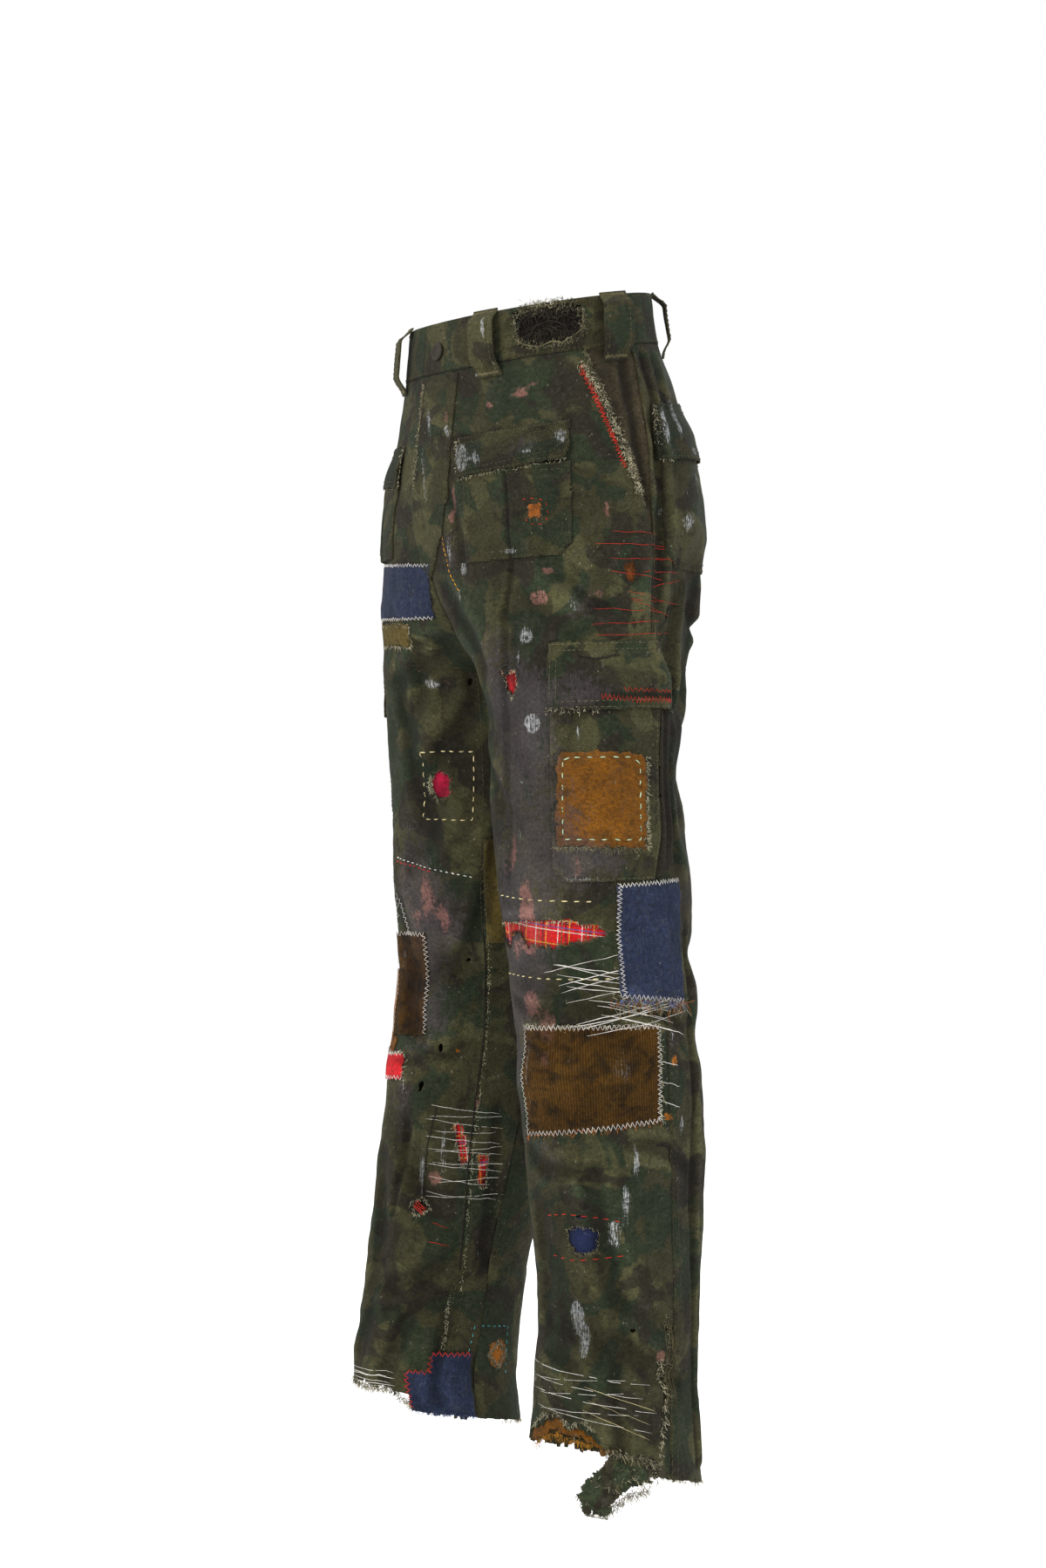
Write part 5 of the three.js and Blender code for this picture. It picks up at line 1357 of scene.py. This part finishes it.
class MakeSeams(MakeGarment):
    """Makes the topstitching of seams, pockets, flaps, loops and waistband"""
    bl_idname = "cargo_pants.seams"
    bl_label = "Topstitching"

    def make(self):
        size, radius = sizes().stitch, sizes().thread
        dark = Threads("topstitch_olive", material("Olive thread"), 5)
        pale = Threads("topstitch_pale", material("Faded thread"), 6)

        def inset_path(outline, inset):
            """The closed path inside an outline that its stitches follow."""
            pts = np.array(outline, float)
            return ring([p + np.sign(pts.mean(0) - p) * inset for p in pts])
        for side in (1, -1):
            for f_side, path, width in FELLS:
                if f_side == side:
                    for gap in (-width / 2 + 1, width / 2 - 1):
                        dark.running(side, [(s + gap, v) for v, s in [(max(-1006, v), s) for v, s in path]],
                                     TOP_PANEL, size, 1.3, radius)
            for key, layer in (("front", on_front_pocket), ("back", on_back_pocket), ("cargo", on_cargo),
                               ("front_flap", on_front_flap), ("back_flap", on_back_flap),
                               ("cargo_flap", on_cargo_flap)):
                outline = POCKETS["front_right" if key == "front" and side < 0 else key]
                for inset in ((2.2,) if key == "cargo" else (2.0, 7.5)):
                    thread = pale if "cargo" in key else dark
                    thread.running(side, inset_path(outline, inset), above(layer, PATCH_WALL), size, 1.3,
                                   radius)
            for gap in (2.5, 8):
                dark.running(side, [(s - gap, v) for s, v in MOUTH], TOP_PANEL, size, 1.3, radius)
            front, back = reach(side, 20.0)
            for v in (2.6, 44.0):
                dark.running(side, [(-front + 2, v), (back - 2, v)], PATCH_WALL, size, 1.3, radius)
            for gap in (3, 9):
                lines = np.arange(-20, -270, -20.0)
                _, back_edge = reach(side, lines)
                dark.running(side, list(zip(back_edge - gap, lines)), TOP_PANEL, size, 1.3, radius)
            for _, middle in LOOPS:
                layer = above(on_loop(loop_foot(middle)), WALL)
                for gap in (-9.5, 9.5):
                    pale.running(side, [(middle + gap, 46), (middle + gap, -11)], layer, size, 1.3, radius)
                for v in (46.0, -10.0):
                    pale.zigzag(side, [(middle - 11, v), (middle + 11, v)], layer, 3.0, 1.2, radius)
        fly = [(36, -6), (36, -128), (28, -163), (12, -189), (-2, -200)]
        for gap in (0, 6):
            pts = [(-reach(1, v)[0] + x - gap, v) for x, v in fly]
            dark.running(1, pts, TOP_PATCH, size, 1.3, radius)
        for thread in (dark, pale):
            for piece in thread.finish():
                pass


# Mending by hand. Each row: thread, kind, side, path, layer, stitch settings.
MENDING = [
    ("Mint", "running", 1, [(-69, -373), (-62, -371), (-12, -371), (-6, -377), (-8, -444), (-72, -443),
                            (-69, -373)], "mustard", (5.5, 4.5, .55)),
    ("Cream", "running", 1, [(-154, -494), (-100, -497), (-42, -498)], 0.8, (6, 5, .55)),
    ("Cream", "running", 1, [(-164, -565), (-100, -567), (-38, -566)], 0.8, (6, 5, .55)),
    ("Cream", "running", -1, [(-169, -364), (-222, -364), (-216, -428), (-164, -428), (-169, -364)], 0.8,
     (5.5, 4, .6)),
    ("Cyan", "running", -1, [(-236, -914), (-234, -950)], 0.8, (4, 3, .42)),
    ("Cyan", "running", -1, [(222, -914), (186, -916), (184, -960)], 0.8, (4, 3, .42)),
    ("Red", "running", 1, [(-112, -778), (-84, -774), (-52, -777), (-30, -781)], 0.8, (6, 4, .4)),
    ("Red", "running", 1, [(-106, -813), (-80, -815), (-50, -812), (-26, -808)], 0.8, (6, 5, .4)),
    ("White", "zigzag", 1, [(-26, -584), (-29, -530), (-24, -482)], 2.5, (4.6, 3.8, 0.21)),
    ("White", "zigzag", 1, [(-24, -484), (10, -482), (46, -480)], 2.5, (4.6, 3.8, 0.21)),
    ("White", "zigzag", 1, [(-31, -581), (4, -585), (38, -588)], 2.5, (5, 4.3, 0.2)),
    ("White", "zigzag", 1, [(-124, -611), (-60, -609), (4, -609)], 2.5, (5, 4.1, 0.21)),
    ("White", "zigzag", 1, [(4, -609), (4, -650), (3, -692)], 2.5, (5, 4.1, 0.21)),
    ("White", "zigzag", 1, [(3, -692), (-60, -699), (-128, -706)], 2.5, (5, 4.3, 0.2)),
    ("White", "zigzag", 1, [(-128, -704), (-127, -660), (-124, -612)], 2.5, (4.2, 4.6, 0.19)),
    ("White", "zigzag", -1, [(-108, -540), (-110, -590), (-112, -634)], 2.5, (5, 4.6, 0.21)),
    ("White", "zigzag", -1, [(-160, -538), (-163, -590), (-166, -633)], 2.5, (4.6, 4.6, 0.21)),
    ("White", "zigzag", -1, [(-108, -539), (-134, -537), (-160, -537)], 2.5, (4.6, 4.6, 0.2)),
    ("White", "zigzag", -1, [(-117, -504), (-130, -530), (-144, -562)], 0.8, (4.6, 4.9, 0.2)),
    ("Red", "zigzag", -1, [(-176, -963), (-198, -961), (-198, -943), (-236, -941)], 2.5, (5, 5.5, 0.37)),
    ("Red", "zigzag", -1, [(-178, -1001), (-176, -980), (-176, -963)], 2.5, (5, 6.5, 0.37)),
    ("White", "zigzag", -1, [(-130, -186), (-180, -189), (-236, -192)], 2.5, (3.4, 4.9, 0.22)),
    ("White", "zigzag", -1, [(-226, -239), (-180, -239), (-131, -238)], 2.5, (3.4, 4.9, 0.22)),
    ("Red", "zigzag", 1, [(-38, -14), (-28, -52), (-17, -90), (-10, -112)], 0.9, (5.0, 3.3, .3)),
    ("Red", "zigzag", 1, [(-38, -20), (-28, -56), (-18, -88)], 1.1, (5.8, 4.7, .28)),
    ("Red", "zigzag", 1, [(-38, -317), (-10, -320), (31, -319)], "cargo_flap", (6.0, 3.4, .22)),
    ("Red", "zigzag", 1, [(-20, -311), (31, -312)], "cargo_flap", (4.4, 5.0, .2)),
    ("Dark", "zigzag", 1, [(-30, -316), (0, -315), (31, -316)], "cargo_flap", (8, 2.2, .28)),
    ("Dark", "zigzag", 1, [(-56, -281), (-40, -284), (-20, -279)], "cargo_flap", (3, 1.7, .3)),
    ("Red", "running", 1, [(-105, -139), (-93, -138), (-84, -142), (-82, -156), (-88, -163), (-100, -162),
                           (-106, -152)], "front_pocket", (3, 4.5, .4)),
    ("Olive", "running", 1, [(-106, -160), (-98, -168), (-90, -160)], "front_pocket", (3, 2, .4)),
    ("Yellow", "running", 1, [(-209, -144), (-206, -176), (-198, -200), (-181, -220)], 0.8, (4, 1.6, .4)),
    ("White", "zigzag", -1, [(-108, -470), (-112, -500), (-112, -530)], 0.8, (9, 9, .17)),
    ("Dark", "line", -1, [(-188, -702), (-181, -740), (-176, -780), (-178, -802)], 0.8, .5),
    ("Dark", "line", -1, [(-217, -535), (-222, -620), (-223, -710), (-213, -860)], 0.9, .7),
    ("Dark", "line", 1, [(-92, 20), (-88, 34), (-76, 40), (-64, 38), (-60, 26)], 1.4, .6),
    ("Faded", "line", 1, [(-31, 34), (-33, 26), (-31, 20), (-39, 14), (-52, 8), (-61, 11), (-72, 7),
                          (-88, 12), (-95, 18)], 1.4, .6),
    ("Dark", "line", 1, [(-84, 12), (-76, 26), (-62, 30), (-48, 24), (-44, 12)], 1.8, .55),
    ("Dark", "line", 1, [(-72, 44), (-66, 34), (-54, 30), (-46, 38)], 1.6, .5),
    ("White", "zigzag", -1, [(-98, -656), (-146, -653)], 2.5, (4.5, 5.0, 0.25)),
    ("White", "zigzag", -1, [(-150, -676), (-104, -679)], 2.5, (4.5, 5.4, 0.25)),
    ("White", "running", -1, [(-125, -464), (-170, -474), (-213, -482)], 0.8, (3.4, 2.4, .5)),
    ("Red", "running", -1, [(-125, -468), (-150, -472), (-176, -478)], 0.8, (4, 2.4, .6)),
]


class MakeMending(MakeGarment):
    """Makes the hand mending: running stitches, zigzag edges, laid threads and darning"""
    bl_idname = "cargo_pants.mending"
    bl_label = "Mending Threads"

    def make(self):
        colours = ("White", "Cream", "Mint", "Cyan", "Red", "Yellow", "Dark", "Olive", "Faded")
        threads = {key: Threads(f"mending_{key.lower()}", material(f"{key} thread"), 70 + i)
                   for i, key in enumerate(colours)}
        layers = {"mustard": above(on_cargo, 2 * PATCH_WALL + LAY), "cargo_flap": above(on_cargo_flap, 1.25),
                  "front_pocket": above(on_front_pocket, PATCH_WALL)}
        for key, kind, side, path, layer, settings in MENDING:
            out = layers.get(layer, layer)
            if kind == "line":
                threads[key].line(side, path, out, settings)
            else:
                getattr(threads[key], kind)(side, path, out, *settings)
        random = np.random.default_rng(90)

        def rows(count, s0, v0, s1, v1, ds, dv, spread=1.5):
            return [(s0 + ds * i + random.normal(0, spread), v0 + dv * i + random.normal(0, spread * .4),
                     s1 + ds * i + random.normal(0, spread), v1 + dv * i + random.normal(0, spread * .4))
                    for i in range(count)]
        hatches = [
            ("Red", 1, rows(6, -44, -168, 26, -172, 5, -13, 9), 0.8, .19),
            ("Red", 1, rows(5, 12, -184, 74, -180, -3, -11, 8), 0.8, .19),
            ("Red", 1, rows(3, -40, -242, 30, -238, 4, -9, 6), 0.8, .18),
            ("White", 1, rows(5, -92, -552, -22, -562, 4, -5.2, 6), 1.2, .25),
            ("White", 1, rows(4, -96, -564, -20, -546, 6, -7.0, 6), 1.2, .23),
            ("White", 1, rows(5, -60, -584, 20, -600, 4, -4.2, 6), 2.6, .23),
            ("White", 1, rows(4, -72, -604, 26, -584, 4, -3.6, 6), 2.8, .23),
            ("White", 1, rows(4, -134, -912, -14, -922, 2, -14, 5), 1.2, .17),
            ("White", 1, rows(3, -120, -928, -16, -918, 2, -15, 5), 1.2, .16),
            ("Cream", 1, rows(3, -70, -930, -12, -946, 2, -12, 4), 1.2, .16),
            ("White", -1, rows(7, -182, -700, -252, -710, 0, -14, 4), 0.9, .19),
            ("White", -1, rows(6, -256, -712, -186, -712, 0, -15, 4), 0.9, .18),
            ("Red", -1, rows(2, -188, -814, -204, -818, 3, -17, 1), 0.9, .26),
            ("White", 1, rows(3, 4, -640, 26, -646, 0, -18, 1), 1.2, .3),
            ("Olive", 1, rows(10, 4, -862, 12, -930, 1.2, -2, 2), 0.8, .3),
            ("Red", -1, rows(4, -170, -792, -180, -800, 1, -1.8, .6), 0.9, .42),
            ("White", -1, rows(7, -160, -968, -100, -972, 0, -3, 3), 0.8, .26),
        ]
        for key, side, lines, out, radius in hatches:
            threads[key].hatch(side, lines, out, radius)
        for thread in threads.values():
            for piece in thread.finish():
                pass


# Frayed edges: yarn, side, path, layer, strands a millimetre, length, spread, way they leave (round, down).
FRAYS = [
    ("Olive yarn", 1, ring(BAND_HOLE), 1.2, 2.2, 4, 1.8, (0, 0.4)),
    ("Cream yarn", 1, ring(BAND_HOLE), 1.2, .4, 4, 1.6, (0, 0.4)),
    ("Olive yarn", 1, [(-90, 45), (-70, 46), (-40, 45)], 1.2, 3, 4, 1.4, (0, -1)),
    ("Cream yarn", 1, [(-84, 46), (-50, 47)], 1.2, 1.2, 4, 1.5, (0, -1)),
    ("Dark yarn", 1, BAND_HOLE[:3], -.4, 5, 11, 2, (.2, 1)),
    ("Dark yarn", 1, [(-90, 18), (-60, 24), (-38, 20)], -1.0, 6, 13, 6, (.4, .3)),
    ("Cream yarn", 1, [(-36, -12), (-20, -56), (-9, -96), (2, -134)], 1.8, 3.6, 3.6, 1.8, (-.4, .4)),
    ("Olive yarn", 1, MOUTH[:4], .6, 3.0, 4, .9, (1, .6)),
    ("Cream yarn", 1, ring(HOLES[("front", 1)][0]), .4, 1.2, 2.4, .5, (0, .5)),
    ("Cream yarn", 1, [(-166, -519), (-120, -516), (-70, -514), (-44, -520)], .4, .9, 3, .6, (0, 1)),
    ("Olive yarn", 1, [(-44, -520), (-36, -527), (-52, -532), (-90, -538), (-112, -539)], .4, 1.4, 3, .8,
     (0, -1)),
    ("Dark yarn", 1, [(-112, -539), (-122, -527), (-134, -527), (-142, -541), (-158, -533), (-164, -539)],
     .4, 3, 3.4, .8, (0, -.6)),
    ("Olive yarn", 1, ring(HOLES[("front", 1)][2]), .6, 1.4, 2.6, .7, (0, .3)),
    ("Cream yarn", 1, [(-128, -974), (-112, -962), (-94, -957), (-82, -967), (-68, -960), (-57, -968)], .6,
     2.0, 4, .8, (0, .8)),
    ("Dark yarn", 1, [(-112, -962), (-94, -957), (-68, -960)], .6, 2, 5, 1.2, (0, 1)),
    ("Mustard yarn", 1, [(-124, -992), (-112, -982), (-98, -977), (-84, -980), (-60, -981)], -2.4, 3, 5,
     1.2, (0, 1)),
    ("Olive yarn", -1, ring(HOLES[("front", -1)][0]), .6, 1.6, 2.6, .6, (0, .3)),
    ("Cream yarn", -1, [(-178, -386), (-174, -398), (-180, -408)], .6, 3, 4, .8, (1, .3)),
    ("Cream yarn", -1, ring(HOLES[("front", -1)][1]), .6, 1.2, 2.6, .5, (0, .3)),
    ("Cream yarn", -1, ring(HOLES[("front", -1)][2]), .6, 1.2, 2.6, .5, (0, .3)),
    ("Orange yarn", 1, [(-34, -584), (0, -587), (38, -589)], 1.6, .9, 11, 2.0, (0, 1)),
    ("Cream yarn", 1, [(-34, -584), (0, -587), (38, -588)], 1.6, 1.5, 10, 2.4, (0, 1)),
    ("Olive yarn", 1, [(-34, -582), (0, -586), (36, -588)], 1.6, 1.6, 10, 3, (0, 1)),
    ("Blue yarn", 1, [(-31, -584), (38, -590)], 1.9, 2, 6, 1, (0, 1)),
    ("Cream yarn", 1, [(-124, -610), (4, -608)], 2.0, 1.8, 3.5, 1.2, (0, -1)),
    ("Orange yarn", 1, [(3, -692), (-128, -706)], 2.0, 1.0, 4, 1.2, (0, 1)),
    ("Cream yarn", 1, [(4, -609), (3, -692)], 2.0, 1.4, 4, 1.2, (1, .3)),
    ("Cream yarn", 1, [(0, -372), (-3, -451)], 13, 2.2, 4, .8, (1, .3)),
    ("Olive yarn", 1, [(-3, -451), (-78, -449)], 12, 2.4, 4, .8, (0, 1)),
    ("Dark yarn", 1, [(-82, -328), (-24, -328), (34, -327)], 10, 2.2, 4, .9, (0, 1)),
    ("Cream yarn", 1, [(-82, -328), (34, -327)], 10, .7, 4, .9, (0, 1)),
    ("Cream yarn", 1, [(-174, -111), (-118, -107), (-62, -101)], 4.5, 1.0, 3, .7, (0, 1)),
    ("Cream yarn", 1, [(-171, -70), (-173, -109)], 4, 1.4, 3.4, .7, (-1, .3)),
    ("Olive yarn", 1, [(-50, -984), (-20, -986), (-4, -990)], .4, 1.6, 6, 1.4, (0, 1)),
    ("Cream yarn", 1, [(-50, -984), (-20, -986), (-4, -990)], .4, 1.4, 6, 1.2, (0, 1)),
    ("Dark yarn", 1, [(-50, -984), (-20, -986), (-4, -990)], 0, 1.6, 8, 1.5, (0, 1)),
    ("Cream yarn", 1, [(2, -1003), (60, -1007), (200, -1005)], .3, 1.2, 3.5, .6, (0, 1)),
    ("Olive yarn", 1, [(4, -864), (10, -900), (12, -944)], .8, 1.3, 4, 1.4, (.5, 1)),
    ("Cream yarn", 1, [(4, -900), (10, -944), (0, -1000)], .8, 1.2, 4, 1.2, (-.4, 1)),
    ("Cream yarn", -1, [(-96, -984), (-130, -988), (-160, -986), (-178, -1000)], .3, 3, 5, 1.2, (0, 1)),
    ("Olive yarn", -1, [(-96, -982), (-130, -985), (-160, -983), (-178, -998)], .5, 3, 6, 1.8, (0, .6)),
    ("Cream yarn", -1, [(-60, -990), (20, -1004), (200, -1004)], .3, 1.2, 4, .6, (0, 1)),
    ("Blue yarn", -1, [(-178, -1003), (-240, -1001)], 1.9, 3, 3, .6, (0, 1)),
    ("Cream yarn", -1, [(-205, -884), (-208, -936)], .8, 1.6, 3, 1.0, (-1, .3)),
    ("Cream yarn", -1, [(-176, -788), (-186, -799), (-170, -806), (-164, -794), (-176, -788)], .6, 2.0, 2.6,
     .6, (0, .3)),
    ("Olive yarn", -1, [(198, -929), (187, -940), (198, -953), (210, -941), (198, -929)], .8, 3.4, 3, 1.2,
     (0, .3)),
    ("Cream yarn", -1, [(198, -929), (187, -940), (198, -953), (210, -941), (198, -929)], .8, 1.6, 3, 1.2,
     (0, .3)),
    ("Cream yarn", -1, [(-222, -530), (-227, -700), (-216, -880)], .8, .9, 2.2, .5, (0, 1)),
    ("Cream yarn", -1, [(-100, -653), (-148, -652), (-152, -678)], 1.6, 1.2, 3, 1.0, (0, .4)),
    ("Olive yarn", 1, [(-98, -146), (-90, -146), (-90, -156), (-98, -156), (-98, -146)], 4.6, 4, 3, .7,
     (0, .3)),
    ("Cream yarn", 1, [(-219, -8), (-247, -100), (-251, -116)], 2.6, 1.6, 2.6, 1.0, (1, .3)),
    ("Olive yarn", 1, [(-219, -8), (-247, -100), (-251, -116)], 2.6, 2.4, 2.6, 1.0, (1, .3)),
    ("Cream yarn", 1, [(30, -56), (30, -104), (90, -104)], 4, 1.2, 3, .8, (-.5, .5)),
    ("Cream yarn", -1, [(-172, -70), (-174, -109), (-120, -106)], 4, 1.4, 3, .9, (-1, .3)),
    ("Olive yarn", 1, [(-128, -185), (-26, -184)], .8, .2, 3, 2, (0, 1)),
    ("Dark yarn", 1, HOLES[("front", 1)][3], .6, 3, 3, .6, (0, .3)),
    ("Cream yarn", -1, [(-132, -242), (-192, -244), (-184, -264), (-130, -262)], 1.8, 1.4, 3, .6, (0, 1)),
    ("Orange yarn", -1, [(-86, -576), (-88, -649), (-130, -650)], 1.6, 1.2, 3, 1.0, (-.4, 1)),
    ("Olive yarn", -1, [(-228, -446), (-222, -545)], 2.0, 1.2, 3.5, .8, (1, .5)),
]
RAG_EDGE = [(-70, -1026), (-64, -1042), (-54, -1047), (-42, -1034), (-28, -1021), (-8, -1014)]


class MakeFray(MakeGarment):
    """Makes the frayed yarns of torn edges, holes and hems"""
    bl_idname = "cargo_pants.fray"
    bl_label = "Frayed Yarns"

    def make(self):
        rows = {}
        for yarn, *row in FRAYS:
            rows.setdefault(yarn, []).append(row)
        for yarn, amount in (("Olive yarn", 3.0), ("Cream yarn", 1.8), ("Dark yarn", .5)):
            rows[yarn].append([1, RAG_EDGE, -2, amount, 6, 1.6, (0, 1)])
            rows[yarn].append([1, [(-58, -1018), (-36, -1008), (-4, -1003)], 0, amount * .6, 6, 4, (-.6, 1)])
        for place, (yarn, group) in enumerate(rows.items()):
            piece = fray(f"fray_{yarn.split()[0].lower()}", material(yarn), group, 300 + place)


class MakeStage(MakeGarment):
    """Makes the floor, the lights and the camera"""
    bl_idname = "cargo_pants.stage"
    bl_label = "Stage and Camera"

    def make(self):
        corners = np.array([(-6, -6, -1.12), (6, -6, -1.12), (6, 6, -1.12), (-6, 6, -1.12)], float)
        mesh = bpy.data.meshes.new("stage_floor")
        mesh.from_pydata(corners.tolist(), [], [(0, 1, 2, 3)])
        floor = bpy.data.objects.new("stage_floor", mesh)
        bpy.context.scene.collection.objects.link(floor)
        paper, _, shader = start_material("Matt paper", 0.95)
        shader.inputs["Base Color"].default_value = rgba("#ffffff")
        mesh.materials.append(paper)
        # kind, place, aim, size, power, colour
        lamps = [
            ("key_light", (0.9, -2.6, 0.9), (0, 0, -0.45), 0.9, 58, "#fffaf4"),
            ("side_light", (3.0, 0.6, 0.7), (0, 0, -0.5), 1.0, 22, "#f6f9ff"),
            ("back_light", (-1.9, 2.4, 0.7), (0, 0, -0.5), 1.2, 34, "#ffffff"),
            ("top_light", (0.4, 0.3, 2.4), (0, 0, -0.2), 1.4, 22, "#ffffff"),
        ]
        for name, place, aim, size, power, code in lamps:
            light = bpy.data.lights.new(name, "AREA")
            light.size, light.energy, light.color = size, power, linear(code)
            lamp = bpy.data.objects.new(name, light)
            lamp.location = place
            lamp.rotation_euler = (Vector(aim) - Vector(place)).to_track_quat("-Z", "Y").to_euler()
            bpy.context.scene.collection.objects.link(lamp)
        world = bpy.data.worlds.new("studio_white")
        world.use_nodes = True
        background = world.node_tree.nodes["Background"]
        background.inputs["Color"].default_value = (1, 1, 1, 1)
        background.inputs["Strength"].default_value = 1.0
        bpy.context.scene.world = world
        bpy.context.scene.view_settings.view_transform = "Standard"
        turn, far, aside, height = math.radians(58), 2.8, -0.005, -0.394
        camera = bpy.data.cameras.new("catalogue_camera")
        camera.lens, camera.sensor_width, camera.sensor_fit = 68.36, 36, "AUTO"
        eye = bpy.data.objects.new("catalogue_camera", camera)
        eye.location = (math.sin(turn) * far + math.cos(turn) * aside,
                        -math.cos(turn) * far + math.sin(turn) * aside, height)
        eye.rotation_euler = Vector((-math.sin(turn), math.cos(turn), 0)).to_track_quat("-Z", "Y").to_euler()
        bpy.context.scene.collection.objects.link(eye)
        bpy.context.scene.camera = eye


class CargoPantsPanel(bpy.types.Panel):
    """Sizes, colours and the steps that make the garment"""
    bl_idname = "VIEW3D_PT_cargo_pants"
    bl_label = "Patched Cargo Pants"
    bl_space_type = "VIEW_3D"
    bl_region_type = "UI"
    bl_category = "Cargo Pants"

    def draw(self, context):
        for group in (context.scene.cargo_pants_sizes, context.scene.cargo_pants_colours):
            for name in group.bl_rna.properties.keys():
                if name not in ("rna_type", "name"):
                    self.layout.prop(group, name)
        for operator in OPERATORS:
            self.layout.operator(operator.bl_idname)


OPERATORS = (MakePanels, MakeWaist, MakeLoops, MakeFly, MakePockets, MakePatches, MakeRag, MakeSeams,
             MakeMending, MakeFray, MakeStage)
CLASSES = (CargoPantsSizes, CargoPantsColours, *OPERATORS, CargoPantsPanel)


def register():
    for cls in CLASSES:
        bpy.utils.register_class(cls)
    bpy.types.Scene.cargo_pants_sizes = bpy.props.PointerProperty(type=CargoPantsSizes)
    bpy.types.Scene.cargo_pants_colours = bpy.props.PointerProperty(type=CargoPantsColours)


def unregister():
    del bpy.types.Scene.cargo_pants_sizes
    del bpy.types.Scene.cargo_pants_colours
    for cls in reversed(CLASSES):
        bpy.utils.unregister_class(cls)


def main():
    register()
    for operator in OPERATORS:
        getattr(bpy.ops.cargo_pants, operator.bl_idname.split(".")[1])()


if __name__ == "__main__":
    main()
